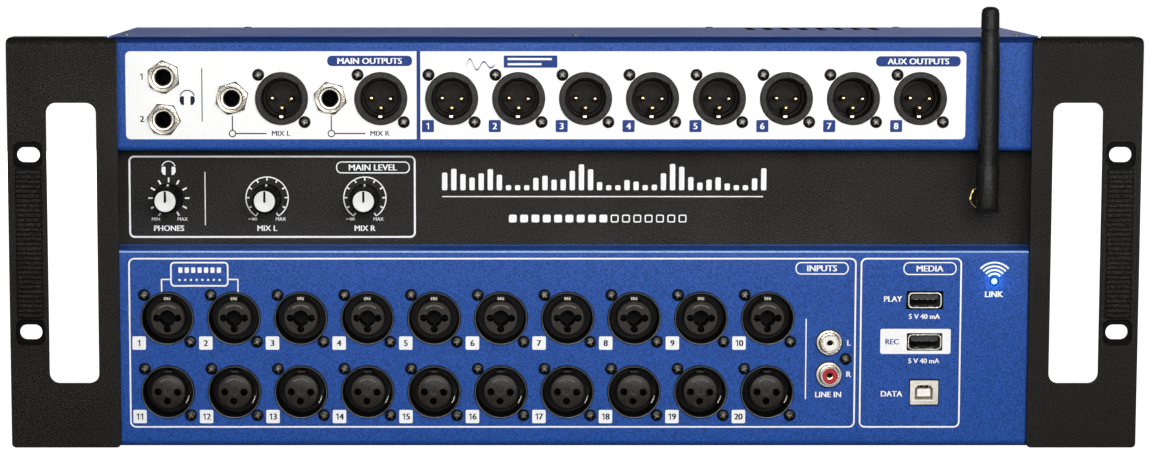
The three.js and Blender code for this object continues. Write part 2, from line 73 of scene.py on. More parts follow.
def spot(node):
    """X and Z of a CAD node's middle."""
    return middle(node).x, middle(node).z


def on_face(node, depth):
    """A CAD node's middle, brought to a depth."""
    return middle(node).x, depth, middle(node).z


# ---------------------------------------------------------------- sizes

NOSE_PROUD = 1.2            # rim of a round receptacle, in front of the panel
KNOB_SHAFT = 9              # behind the recessed face
UPPER_FACE = low("xlr_out_1").y + NOSE_PROUD
LOWER_FACE = low("combo_in_1").y + NOSE_PROUD
MIDDLE_FACE = high("phones_knob").y - KNOB_SHAFT
SHEET = 1.5                 # steel of the chassis
EAR_SHEET = 2.6             # steel of the ears
BODY_TOP = high("top_cover").z
PANEL_HALF = high("front_panel").x
UPPER_BOTTOM = 127.1        # underside of the upper face
LOWER_TOP = 85.0            # top of the lower face
HOUSING_BACK = 18.8         # of receptacles and jacks, behind their face
INK = 0.05                  # thickness of one layer of printing
SUNK = 0.04                 # of printing, under its face
CAPITAL = 0.72              # height of a capital, as a share of the typeface's size
SLOT_X = 232.55             # middles of the rack slots
SLOT_HEIGHTS = (49.9, 126.1)
EAR_INNER = 194.5
EAR_OUTER = 241.3
EAR_MIDDLE = 88             # above the underside
HANDLE_X = 214.2
FLANGE_INNER = 199.9        # side flange of an ear
FLANGE_OUTER = 201.9
PHONO_HEIGHTS = (45.15, 31.2)

OUTPUTS = ["xlr_out_mix_l", "xlr_out_mix_r"] + [f"xlr_out_{i}" for i in range(1, 9)]
COMBOS = [f"combo_in_{i}" for i in range(1, 11)]
INPUTS = [f"xlr_in_{i}" for i in range(11, 21)]
JACKS = ["phones_jack_1", "phones_jack_2", "mix_jack_l", "mix_jack_r"]
KNOBS = ["phones_knob", "mix_l_knob", "mix_r_knob"]
REAR_SOCKETS = [(40, 7.2), (75, 7.5), (110, 6)]      # X and half width


# ---------------------------------------------------------------- materials

NOISE_SPAN = (0.36, 0.64)   # where most of Blender's noise lies


def linear(colour):
    """Linear red, green, blue and alpha of a #rrggbb colour."""
    channels = [int(colour[i:i + 2], 16) / 255 for i in (1, 3, 5)]
    return [c / 12.92 if c <= 0.04045 else ((c + 0.055) / 1.055) ** 2.4 for c in channels] + [1]


def mapped(tree, source, span, values):
    """A value that goes between two values while its source goes over a span."""
    node = tree.nodes.new("ShaderNodeMapRange")
    for name, value in zip(("From Min", "From Max", "To Min", "To Max"), (*span, *values)):
        node.inputs[name].default_value = value
    tree.links.new(source, node.inputs["Value"])
    return node.outputs["Result"]


def surface(name, colour, roughness, metallic=0.0, speckle=0.08, grain=0.5, bump=0.02,
            stretch=(1, 1, 1), smudge=0.08, specular=0.5, glow=0.0):
    """A procedural material: fine grain in tone, sheen and relief, slow variation in gloss.

    speckle is how far the grain strays from the colour, grain its size and bump its height, both
    in millimetres; smudge is how far the gloss strays from the roughness, specular how strongly a
    non-metal mirrors, and the grain varies it by up to 0.6 of speckle.
    """
    material = bpy.data.materials.new(name)
    material.use_nodes = True
    tree = material.node_tree
    nodes, links = tree.nodes, tree.links
    shader = nodes["Principled BSDF"]
    shader.inputs["Metallic"].default_value = metallic

    place = nodes.new("ShaderNodeTexCoord")
    scale = nodes.new("ShaderNodeMapping")
    scale.inputs["Scale"].default_value = stretch
    links.new(place.outputs["Object"], scale.inputs["Vector"])

    def noise(size, detail, source, start, end):
        """Noise of a given size in millimetres, spread over a range of values."""
        texture = nodes.new("ShaderNodeTexNoise")
        texture.inputs["Scale"].default_value = 1 / (size * MM)
        texture.inputs["Detail"].default_value = detail
        links.new(source, texture.inputs["Vector"])
        return mapped(tree, texture.outputs["Fac"], NOISE_SPAN, (start, end))

    fine = noise(grain, 1, scale.outputs["Vector"], 0, 1)
    tone = nodes.new("ShaderNodeMix")
    tone.data_type = "RGBA"
    base = linear(colour)
    tone.inputs["A"].default_value = [c * (1 - speckle) for c in base[:3]] + [1]
    tone.inputs["B"].default_value = [min(1, c * (1 + speckle)) for c in base[:3]] + [1]
    links.new(fine, tone.inputs["Factor"])
    links.new(tone.outputs["Result"], shader.inputs["Base Color"])

    sheen = mapped(tree, fine, (0, 1), (specular * (1 - 0.6 * speckle), specular * (1 + 0.6 * speckle)))
    links.new(sheen, shader.inputs["Specular IOR Level"])

    gloss = noise(45, 5, place.outputs["Object"], max(0.03, roughness - smudge),
                  min(1, roughness + smudge))
    links.new(gloss, shader.inputs["Roughness"])

    if bump:
        relief = nodes.new("ShaderNodeBump")
        relief.inputs["Distance"].default_value = bump * MM
        links.new(fine, relief.inputs["Height"])
        links.new(relief.outputs["Normal"], shader.inputs["Normal"])
    if glow:
        shader.inputs["Emission Color"].default_value = base
        shader.inputs["Emission Strength"].default_value = glow
    return material


BLUE_COAT = surface("blue_coat", "#224b97", 0.42, speckle=0.3, grain=0.55, bump=0.05, specular=0.15)
# painted highlight: a light blue for the lower face's top bend, standing in for the light it catches
BEND_HIGHLIGHT_BLUE = surface("blue_coat_painted_highlight", "#9dbcf0", 0.34, speckle=0.2, grain=0.75, bump=0.03, specular=0.4)
# the lid's blue: the chassis paint made a little lighter as painted light on the top
COVER_COAT_LIFTED = surface("cover_coat_painted_light", "#2a51a4", 0.45, speckle=0.35, grain=0.55, bump=0.05, smudge=0.02,
                     specular=0.26)
# painted shade: a dark copy of the blue coat for the top front bend
BROW_SHADE_BLUE = surface("blue_coat_painted_shade", "#0f2859", 0.42, speckle=0.3, grain=0.55, bump=0.05, specular=0.1)
BLACK_COAT = surface("black_coat", "#14120f", 0.5, speckle=0.85, bump=0.09, specular=0.16)
# the recess face's real black paint, made lighter than black_coat as painted light
RECESS_BLACK_LIFTED = surface("recess_black_painted_light", "#1a1815", 0.5, speckle=0.85, bump=0.09, specular=0.19)
# painted shade: near-black for the ears' slot pockets and the strip between their ribs
POCKET_SHADE = surface("pocket_painted_shade", "#030303", 0.6, speckle=0.6, bump=0.04, specular=0.08)
LABEL = surface("label_film", "#f4f4f2", 0.38, speckle=0.015, grain=0.7, bump=0.03)
WHITE_INK = surface("white_ink", "#f2f2f2", 0.5, speckle=0.03, grain=0.8)
BLUE_INK = surface("blue_ink", "#1d3b80", 0.5, speckle=0.05, specular=0.15, grain=0.8)
DARK_INK = surface("dark_ink", "#121a30", 0.5, speckle=0.05, specular=0.12, grain=0.8)
SHELL_GREY = surface("receptacle_rim", "#2c2a28", 0.46, speckle=0.4, bump=0.04, specular=0.16)
SHELL_BLACK = surface("receptacle_black", "#0b0b0b", 0.36, speckle=0.3, specular=0.14)
# painted highlight: a lighter grey for the receptacles' lip ring and raised bands
HIGHLIGHT_GREY = surface("receptacle_painted_highlight", "#5b5a57", 0.3, speckle=0.2)
# painted shade: a darker copy of the rim colour for cavities, collars and pits
CAVITY_SHADE = surface("receptacle_cavity_painted_shade", "#100d0a", 0.45, speckle=0.4, bump=0.03, specular=0.1)
INSERT_GREY = surface("receptacle_insert", "#26221e", 0.38, speckle=0.3, bump=0.04, specular=0.2)
GOLD = surface("gold_plate", "#efd499", 0.24, 1.0, speckle=0.08, grain=0.4, bump=0.01)
NICKEL = surface("nickel_plate", "#c2baa9", 0.24, 1.0, speckle=0.12, grain=0.6)
BRIGHT_NICKEL = surface("bright_nickel", "#efe9dc", 0.26, 1.0, speckle=0.06, grain=0.6)
TINPLATE = surface("tinned_steel", "#b9bbbd", 0.32, 1.0, speckle=0.1, grain=0.4, stretch=(1, 1, 12))
BLACK_SCREW = surface("black_zinc", "#2b2b2c", 0.26, 0.85, speckle=0.2, grain=0.4)
# the cross recess's lighter metal: partly wear by the driver and partly a painted glint
CROSS_GLINT_AND_WEAR = surface("cross_painted_glint_and_wear", "#837d74", 0.34, 0.9, speckle=0.2, grain=0.3)
KNOB_BLACK = surface("knob_black", "#040404", 0.45, speckle=0.3, grain=0.4, specular=0.1)
CAP_WHITE = surface("cap_white", "#e2e2df", 0.3, speckle=0.03, bump=0.015)
RUBBER = surface("aerial_rubber", "#121211", 0.46, speckle=0.6, grain=0.6, bump=0.05, specular=0.22)
PLASTIC_BLACK = surface("moulded_black", "#18181a", 0.42, speckle=0.12, grain=0.4)
PLASTIC_WHITE = surface("moulded_white", "#f1efe9", 0.3, speckle=0.02, bump=0.01)
PLASTIC_RED = surface("moulded_red", "#b3202f", 0.32, speckle=0.06, bump=0.01)
# painted shade: near-black inside bores, holes, slits, grooves, vent walls and port mouths, and for
# thin shadow lines
BORE_SHADE = surface("bore_painted_shade", "#050505", 0.6, speckle=0.3, bump=0.05, specular=0.1)
LED = surface("lamp_lens", "#9fe2f8", 0.2, glow=1.0, grain=0.8, bump=0)
BOARD = surface("solder_mask", "#14532f", 0.35, speckle=0.2, grain=2.5, bump=0.03)


# ---------------------------------------------------------------- shapes

BEND_STEPS = 8              # flats that stand for one bend
SMOOTH_ANGLE = 32           # degrees; a sharper edge stays an edge
SOFTENED_ANGLE = 40         # degrees; a sharper edge is rounded


def arc(x, z, radius, start, end, steps):
    """Points along an arc; angles in degrees from +X towards +Z."""
    turns = [math.radians(start + (end - start) * i / steps) for i in range(steps + 1)]
    return [(x + radius * math.cos(t), z + radius * math.sin(t)) for t in turns]


def disc(x, z, radius, steps=32, start=0):
    return arc(x, z, radius, start, start + 360, steps)[:-1]


def rounded(x0, x1, z0, z1, radius, steps=6):
    """Outline of a rectangle with round corners."""
    return (arc(x1 - radius, z0 + radius, radius, -90, 0, steps)
            + arc(x1 - radius, z1 - radius, radius, 0, 90, steps)
            + arc(x0 + radius, z1 - radius, radius, 90, 180, steps)
            + arc(x0 + radius, z0 + radius, radius, 180, 270, steps))


def centred(x, z, half_width, half_height, radius, steps=6):
    """Outline of a rectangle with round corners, from its middle."""
    return rounded(x - half_width, x + half_width, z - half_height, z + half_height, radius, steps)


def sector(x, z, inner, outer, start, end, steps=24):
    """Outline of a piece of a ring."""
    return arc(x, z, outer, start, end, steps) + arc(x, z, inner, end, start, steps)


def stretch_of(side, near, far):
    """Both ends, lower first, of a stretch on the left (-1) or the right (1) of the middle."""
    return sorted((side * near, side * far))


def rectangle(x0, x1, z0, z1):
    return [(x0, z0), (x1, z0), (x1, z1), (x0, z1)]


def bent_sheet(corners, thickness):
    """Outline of a sheet bent at corners (y, z, inner radius); its body lies left of the path."""
    path = [Vector(c[:2]) for c in corners]
    ways = [(b - a).normalized() for a, b in zip(path, path[1:])]
    left = [Vector((-w.y, w.x)) for w in ways]
    outer = [path[0]]
    inner = [path[0] + left[0] * thickness]
    for i in range(1, len(path) - 1):
        before, after = ways[i - 1], ways[i]
        turn = math.atan2(before.x * after.y - before.y * after.x, before.dot(after))
        bend = corners[i][2]
        outer_radius = bend + thickness if turn > 0 else bend
        inner_radius = bend if turn > 0 else bend + thickness
        to_centre = left[i - 1] * math.copysign(1, turn)
        centre = path[i] - before * outer_radius * math.tan(abs(turn) / 2) + to_centre * outer_radius
        for step in range(BEND_STEPS + 1):
            spoke = Matrix.Rotation(turn * step / BEND_STEPS, 2) @ -to_centre
            outer.append(centre + spoke * outer_radius)
            inner.append(centre + spoke * inner_radius)
    outer.append(path[-1])
    inner.append(path[-1] + left[-1] * thickness)
    return [tuple(p) for p in outer + inner[::-1]]


def add_object(name, data):
    """A new object in the scene."""
    thing = bpy.data.objects.new(name, data)
    bpy.context.scene.collection.objects.link(thing)
    return thing


class Build:
    """A mesh in the making, in millimetres, with a material for each shape."""

    def __init__(self):
        self.bm = bmesh.new()
        self.materials = []

    def paint(self, faces, material):
        if material not in self.materials:
            self.materials.append(material)
        for face in faces:
            face.material_index = self.materials.index(material)

    def within(self, depths, heights):
        """Faces whose middles lie between two depths and between two heights."""
        return [face for face in self.bm.faces
                if depths[0] < face.calc_center_median().y < depths[1]
                and heights[0] < face.calc_center_median().z < heights[1]]

    def paint_bore(self, radius, depths, material):
        """Paints what is nearer to the axis than a radius and lies between two depths."""
        self.paint([face for face in self.within(depths, (-radius, radius))
                    if math.hypot(*face.calc_center_median().xz) < radius], material)

    def lathe(self, profile, material, at=(0, 0), steps=48, closed=False):
        """Turns (radius, depth) points round the line along Y through at."""
        rings = []
        for radius, depth in profile:
            outline = disc(*at, radius, steps) if radius else [at]
            rings.append([self.bm.verts.new((x, depth, z)) for x, z in outline])
        if closed:
            rings.append(rings[0])
        faces = []
        for near, far in zip(rings, rings[1:]):
            for i in range(steps):
                corners = [(near, i), (near, i + 1), (far, i + 1), (far, i)]
                loop = list(dict.fromkeys(ring[j % len(ring)] for ring, j in corners))
                if len(loop) > 2:
                    faces.append(self.bm.faces.new(loop))
        self.paint(faces, material)
        return self

    def torus(self, profile, material, at=(0, 0), steps=48):
        """Turns the outline of a section, in (radius, depth) points, into a ring."""
        return self.lathe(profile, material, at, steps, closed=True)

    def prism(self, outline, near, far, material, holes=(), axis="Y"):
        """Extrudes an outline, with holes, between two places along an axis."""
        order = {"X": lambda u, v, w: (w, u, v), "Y": lambda u, v, w: (u, w, v),
                 "Z": lambda u, v, w: (u, v, w)}[axis]
        loops = [outline, *holes]
        ends = [[self.bm.verts.new(order(u, v, w)) for loop in loops for u, v in loop]
                for w in (near, far)]
        flat = tessellate_polygon([[Vector((u, v, 0)) for u, v in loop] for loop in loops])
        faces = [self.bm.faces.new([end[i] for i in corner]) for end in ends for corner in flat]
        first = 0
        for loop in loops:
            count = len(loop)
            for i in range(count):
                a, b = first + i, first + (i + 1) % count
                faces.append(self.bm.faces.new([ends[0][a], ends[0][b], ends[1][b], ends[1][a]]))
            first += count
        self.paint(faces, material)
        return self

    def block(self, x0, x1, y0, y1, z0, z1, material):
        return self.prism(rectangle(x0, x1, z0, z1), y0, y1, material)

    def boolean(self, other, operation):
        """Joins with, cuts by or keeps the overlap with another build."""
        pair = []
        for build in (self, other):
            bmesh.ops.recalc_face_normals(build.bm, faces=build.bm.faces[:])
            mesh = bpy.data.meshes.new("working")
            build.bm.to_mesh(mesh)
            for material in build.materials:
                mesh.materials.append(material)
            pair.append(add_object("working", mesh))
        modifier = pair[0].modifiers.new("boolean", "BOOLEAN")
        modifier.object = pair[1]
        modifier.operation = operation
        modifier.solver = "EXACT"
        modifier.material_mode = "TRANSFER"
        depsgraph = bpy.context.evaluated_depsgraph_get()
        result = bpy.data.meshes.new_from_object(pair[0].evaluated_get(depsgraph))
        self.bm = bmesh.new()
        self.bm.from_mesh(result)
        self.materials = [m for m in result.materials]
        for thing in pair:
            bpy.data.objects.remove(thing)
        return self

    def cut(self, other):
        return self.boolean(other, "DIFFERENCE")

    def mesh(self, name):
        """The finished mesh, in metres, round its own origin."""
        bmesh.ops.recalc_face_normals(self.bm, faces=self.bm.faces[:])
        mesh = bpy.data.meshes.new(name)
        self.bm.to_mesh(mesh)
        for material in self.materials:
            mesh.materials.append(material)
        mesh.transform(Matrix.Scale(MM, 4))
        mesh.polygons.foreach_set("use_smooth", [True] * len(mesh.polygons))
        mesh.set_sharp_from_angle(angle=math.radians(SMOOTH_ANGLE))
        return mesh


def soften(piece, width, segments=2):
    """Rounds a piece's sharp edges, width in millimetres."""
    bevel = piece.modifiers.new("soft_edges", "BEVEL")
    bevel.width = width * MM
    bevel.segments = segments
    bevel.limit_method = "ANGLE"
    bevel.angle_limit = math.radians(SOFTENED_ANGLE)
    bevel.harden_normals = True
    return piece


def put(name, shape, at=(0, 0, 0), nodes=(), body="chassis", turn=0):
    """Shows a mesh or a build as a piece that rides on a body; at is in millimetres."""
    piece = add_object(name, shape.mesh(name) if isinstance(shape, Build) else shape)
    piece.matrix_world = Matrix.Translation(ROW @ Vector(at)) @ Matrix.Rotation(turn, 4, "Y")
    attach(piece, body)
    if nodes:
        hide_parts(*nodes)
    return piece


# ---------------------------------------------------------------- camera, floor and light

def soft_light(name, place, size, power, aim=(0, 0, 0.09), seen_by=("diffuse", "glossy")):
    """A rectangular softbox, in metres and watts, that faces a point.

    seen_by tells whether it lights matt surfaces (diffuse), shows in shiny ones (glossy) or both.
    """
    light = add_object(name, bpy.data.lights.new(name, "AREA"))
    light.data.shape = "RECTANGLE"
    light.data.size, light.data.size_y = size
    light.data.energy = power
    light.location = place
    light.rotation_euler = (Vector(aim) - Vector(place)).to_track_quat("-Z", "Y").to_euler()
    light.visible_camera = False
    light.visible_diffuse = "diffuse" in seen_by
    light.visible_glossy = "glossy" in seen_by


def studio_world():
    """Surroundings brightest at the horizon, dim behind the object; the camera sees only white."""
    world = bpy.data.worlds.new("studio")
    bpy.context.scene.world = world
    world.use_nodes = True
    tree = world.node_tree
    nodes, links = tree.nodes, tree.links
    surroundings = nodes["Background"]
    direction = nodes.new("ShaderNodeTexCoord")
    split = nodes.new("ShaderNodeSeparateXYZ")
    links.new(direction.outputs["Generated"], split.inputs["Vector"])
    height = mapped(tree, split.outputs["Z"], (-1, 1), (0, 1))
    ramp = nodes.new("ShaderNodeValToRGB").color_ramp
    ramp.interpolation = "EASE"
    for place, level in ((0.30, 0.05), (0.50, 0.26), (0.66, 0.3), (0.86, 0.14)):
        stop = ramp.elements.new(place)
        stop.color = (level, level, level, 1)
    ramp.elements.remove(ramp.elements[0])
    ramp.elements.remove(ramp.elements[-1])
    links.new(height, nodes["Color Ramp"].inputs["Fac"])
    links.new(nodes["Color Ramp"].outputs["Color"], surroundings.inputs["Color"])
    behind = mapped(tree, split.outputs["Y"], (0, 0.6), (1, 0.12))
    links.new(behind, surroundings.inputs["Strength"])
    backdrop = nodes.new("ShaderNodeBackground")
    backdrop.inputs["Color"].default_value = (1, 1, 1, 1)
    seen = nodes.new("ShaderNodeLightPath")
    mix = nodes.new("ShaderNodeMixShader")
    links.new(seen.outputs["Is Camera Ray"], mix.inputs["Fac"])
    links.new(surroundings.outputs["Background"], mix.inputs[1])
    links.new(backdrop.outputs["Background"], mix.inputs[2])
    links.new(mix.outputs["Shader"], nodes["World Output"].inputs["Surface"])


def sheet_of(name, x0, x1, y0, y1, z, material):
    """A flat sheet of the set, in metres."""
    mesh = bpy.data.meshes.new(name)
    mesh.from_pydata([(x0, y0, z), (x1, y0, z), (x1, y1, z), (x0, y1, z)], [], [(0, 1, 2, 3)])
    mesh.materials.append(material)
    thing = add_object(name, mesh)
    return thing


def studio_floor():
    """A pale floor that only the camera sees, and a dark card under it that darkens reflections."""
    paper = surface("floor_paper", "#a6a6a6", 0.9, speckle=0.0, grain=40, specular=0.1, bump=0)
    shader = paper.node_tree.nodes["Principled BSDF"]
    shader.inputs["Emission Color"].default_value = (1, 1, 1, 1)
    shader.inputs["Emission Strength"].default_value = 0.96
    floor = sheet_of("floor", -20, 20, -20, 20, -0.0002, paper)
    floor.visible_diffuse = False
    floor.visible_glossy = False
    dark = surface("card_black", "#1c1c1c", 0.9, speckle=0.0, grain=40, bump=0)
    card = sheet_of("front_card", -0.6, 0.6, -0.42, 0.3, -0.0006, dark)
    card.visible_camera = False


def stage():
    camera = add_object("camera", bpy.data.cameras.new("camera"))
    camera.data.sensor_width = 36
    camera.data.lens = 95.28
    camera.data.shift_x = 0.071
    camera.data.clip_end = 100
    camera.location = ROW @ Vector((-34.7, -1290, 228.4))
    camera.rotation_euler = (math.radians(90 - 5.92), 0, 0)
    bpy.context.scene.camera = camera

    studio_world()
    studio_floor()
    soft_light("key_softbox", (0.1, -1.0, 0.42), (0.9, 0.5), 11.3)
    soft_light("front_reflector", (-0.1, -1.8, 0.15), (2.4, 1.0), 7, seen_by=["glossy"])
    soft_light("top_sheen", (0.12, 2.2, 0.45), (1.7, 1.0), 4, (0, 0, 0.17), ["glossy"])
    soft_light("back_softbox", (0.9, 1.5, 0.7), (1.2, 0.8), 1.2)
    soft_light("back_fill", (-0.3, 1.6, 0.2), (1.4, 0.6), 16, seen_by=["diffuse"])
    for name, x in (("left_fill", -1.5), ("right_fill", 1.5)):
        soft_light(name, (x, 0.25, 0.3), (0.8, 0.6), 9, seen_by=["diffuse"])
    bpy.context.scene.view_settings.view_transform = "Standard"


# ---------------------------------------------------------------- casings

def receptacle_places():
    """X, face depth and Z of every round receptacle."""
    return ([on_face(node, UPPER_FACE) for node in OUTPUTS]
            + [on_face(node, LOWER_FACE) for node in COMBOS + INPUTS])


def front_panel():
    """One bent sheet with the three faces and its openings, a painted highlight on the lower bend and
    painted shade on the top bend.
    """
    flange = BODY_TOP - 1.8
    profile = bent_sheet([
        (40, flange, 0), (16.5, flange, 0.2), (14.7, BODY_TOP, 0.2),
        (UPPER_FACE, BODY_TOP, 2.5), (UPPER_FACE, UPPER_BOTTOM, 0.8),
        (MIDDLE_FACE, UPPER_BOTTOM, 0.6), (MIDDLE_FACE, LOWER_TOP, 0.6),
        (LOWER_FACE, LOWER_TOP, 1), (LOWER_FACE, 0, 1.5), (14, 0, 0)], SHEET)
    panel = Build().prism(profile, -PANEL_HALF, PANEL_HALF, BLUE_COAT, axis="X")
    holes = Build()

    def through(outline, face):
        holes.prism(outline, face - 1, face + SHEET + 1, BLUE_COAT)

    for x, face, z in receptacle_places():
        through(disc(x, z, 11.6, 64), face)
    for node in JACKS:
        through(disc(*spot(node), 5.1, 40), UPPER_FACE)
    for z in PHONO_HEIGHTS:
        through(disc(middle("line_in_phono").x, z, 5.9, 40), LOWER_FACE)
    for node in KNOBS:
        through(disc(*spot(node), 3.85, 32), MIDDLE_FACE)
    through(disc(*spot("antenna_socket"), 3.5, 32), MIDDLE_FACE)
    through(disc(*spot("wifi_lamp"), 2.1, 32), LOWER_FACE)
    for node, width, height in (("play_port", 15.9, 8.1), ("record_port", 15.9, 8.1),
                                ("host_port", 13.0, 11.6)):
        x, z = spot(node)
        through(centred(x, z, width / 2, height / 2, 0.4, 3), LOWER_FACE)
    panel.cut(holes)
    # the recess face has the black of the two-tone paint, lifted above the ears' black as painted light
    recess = panel.within((MIDDLE_FACE - 0.7, math.inf), (LOWER_TOP + 0.5, UPPER_BOTTOM - 0.5))
    panel.paint(recess, RECESS_BLACK_LIFTED)
    # painted highlight: the front bend at the top of the lower face is painted light blue
    bend = panel.within((LOWER_FACE + 0.02, LOWER_FACE + 1.1), (LOWER_TOP - 1.2, LOWER_TOP - 0.02))
    panel.paint([face for face in bend if face.calc_area() > 5], BEND_HIGHLIGHT_BLUE)
    # painted shade: the bend between the top and the upper face is painted dark blue
    brow = panel.within((UPPER_FACE + 0.05, UPPER_FACE + 3.9), (BODY_TOP - 2.3, BODY_TOP - 0.05))
    panel.paint(brow, BROW_SHADE_BLUE)
    put("chassis_front", panel, nodes=["front_panel"])


def top_cover():
    """Lid with round-ended vents and its two inner flanges."""
    half = high("top_cover").x
    front, back = low("top_cover").y, high("top_cover").y
    vents = [centred(82.5 + 8.06 * i, 99, 1.8, 13, 1.75) for i in range(8)]
    lid = Build()
    lid.prism(rounded(-half, half, front, back, 1, 4), BODY_TOP - SHEET, BODY_TOP, COVER_COAT_LIFTED,
              holes=vents, axis="Z")
    lid.bm.normal_update()
    # the walls inside the vents are painted near-black as painted shade
    vent_walls = [face for face in lid.within((80, back - 2), (0, BODY_TOP))
                  if abs(face.normal.z) < 0.5 and 75 < face.calc_center_median().x < 145]
    lid.paint(vent_walls, BORE_SHADE)
    for side in (-1, 1):
        edges = stretch_of(side, PANEL_HALF, PANEL_HALF - SHEET)
        lid.prism(rectangle(*edges, 50, 100), BODY_TOP - 15.5, BODY_TOP - SHEET, COVER_COAT_LIFTED, axis="Z")
    piece = put("chassis_lid", lid, nodes=["top_cover"])
    soften(piece, 0.35)


def rack_ears():
    """Each ear: front plate with handle, slots and ribs, its top lip and its side flange."""
    for side, node in ((-1, "rack_ear_left"), (1, "rack_ear_right")):
        inner, outer = stretch_of(side, EAR_INNER, EAR_OUTER)
        top = high(node).z
        ear = Build().prism(bent_sheet([(14, top, 0), (0, top, 1.6), (0, 0, 0)], EAR_SHEET),
                            inner, outer, BLACK_COAT, axis="X")
        ear.boolean(Build().prism(rounded(inner, outer, 0, top, 1.8), -1, 15, BLACK_COAT), "INTERSECT")
        cuts = Build()
        over_body = stretch_of(side, EAR_INNER - 1.5, FLANGE_INNER)
        cuts.block(*over_body, EAR_SHEET, 16, -1, top + 1, BLACK_COAT)
        cuts.prism(centred(side * HANDLE_X, EAR_MIDDLE, 10.75, 60.25, 4.4, 10), -1, 4, BLACK_COAT)
        ear.cut(cuts)
        x = side * SLOT_X
        slots = Build()
        pockets = Build()
        for z in SLOT_HEIGHTS:
            slots.prism(centred(x, z, 4.8, 3.2, 3.15, 10), -1, 4, BLACK_COAT)
            # the slot pockets and the strip behind the ribs are painted near-black as painted shade
            pockets.prism(centred(x, z, 6.2, 5.6, 3, 8), -1, 1.5, POCKET_SHADE)
        pockets.prism(rounded(x - 5.7, x + 5.7, 55.7, 120.4, 0.9, 4), -1, 0.25, POCKET_SHADE)
        ear.cut(slots).cut(pockets)
        for i in range(31):
            ear.prism(centred(x, 57.3 + 2.05 * i, 5.2, 0.66, 0.4, 3), -0.25, 1, BLACK_COAT)
        flange = stretch_of(side, FLANGE_INNER, FLANGE_OUTER)
        ear.boolean(Build().prism(rounded(1, 100, 0, top - 1.2, 3), *flange, BLACK_COAT, axis="X"),
                    "UNION")
        name = "ear_left" if side < 0 else "ear_right"
        piece = put(name, ear, nodes=[node])
        soften(piece, 0.45, segments=3)


# ---------------------------------------------------------------- receptacles

def housing(radius):
    """End of a profile: a moulded housing from just behind the panel to its back."""
    return [(radius, 1.95), (radius, HOUSING_BACK), (0, HOUSING_BACK)]


def male_receptacle():
    """Panel-mount receptacle with three gold pins, round its axis at the panel's face."""
    shell = Build()
    shell.lathe([(0, 11.8), (8.0, 11.8), (8.15, 11), (8.35, -0.6), (8.75, -1.2), (10.9, -1.2),
                 (11.25, -0.85), (11.25, 1.9), *housing(12.4)], SHELL_GREY, steps=72)
    # the cavity's wall, notches, floor ring and pin collars are darker than the rim as painted shade
    shell.paint_bore(8.4, (-math.inf, 12), CAVITY_SHADE)
    notches = Build()
    notches.prism(disc(6.3, 5.3, 1.1, 20), -2, 9, CAVITY_SHADE)
    notches.prism(rectangle(-1.6, 1.6, -9.2, -7.4), -2, 9, CAVITY_SHADE)
    shell.cut(notches)
    shell.torus([(10.78, -1.0), (10.85, -1.24), (11.1, -1.22), (11.28, -0.9)], SHELL_BLACK, steps=72)
    shell.torus([(8.34, -0.5), (8.6, -1.12), (8.95, -1.26), (8.95, -1.0)], SHELL_BLACK, steps=72)
    shell.torus([(7.2, 12), (7.2, 7.4), (7.5, 7.2), (8.3, 7.2), (8.3, 12)], CAVITY_SHADE, steps=56)
    # a near-black block low in the cavity, painted shade
    shell.block(-1.5, 1.0, 2.5, 11.9, -7.9, -4.9, BORE_SHADE)
    shell.prism(rounded(-1.1, 0.5, -8.3, -7.4, 0.3, 4), 1.2, 9, BRIGHT_NICKEL)
    shell.prism(sector(0, 0, 6.1, 6.5, 35, 145), 11.5, 12, SHELL_BLACK)
    for x, z in ((-4.1, 0), (4.1, -0.3), (0, -4.2)):
        shell.lathe([(0, 0.5), (0.55, 0.55), (0.95, 0.85), (1.2, 1.4), (1.2, 12), (0, 12)], GOLD,
                    at=(x, z), steps=20)
        shell.torus([(2.0, 12), (2.0, 11.3), (1.2, 11.3), (1.2, 12)], CAVITY_SHADE, at=(x, z), steps=20)
    return shell.mesh("male_receptacle")


def receptacle_shell():
    """The rim and shell that the two kinds of input share."""
    shell = Build()
    shell.lathe([(0, 10), (10.15, 10), (10.15, 0.3), (10.35, -0.3), (10.75, -0.8), (10.9, -1.15),
                 (11.1, -1.2), (11.25, -1.0), (11.3, 1.9), *housing(12.4)], SHELL_BLACK, steps=72)
    # the lighter lip ring round the rim is a painted highlight
    shell.torus([(10.82, -0.9), (10.9, -1.22), (11.08, -1.27), (11.22, -1.1), (11.27, -0.8)],
                HIGHLIGHT_GREY, steps=72)
    return shell


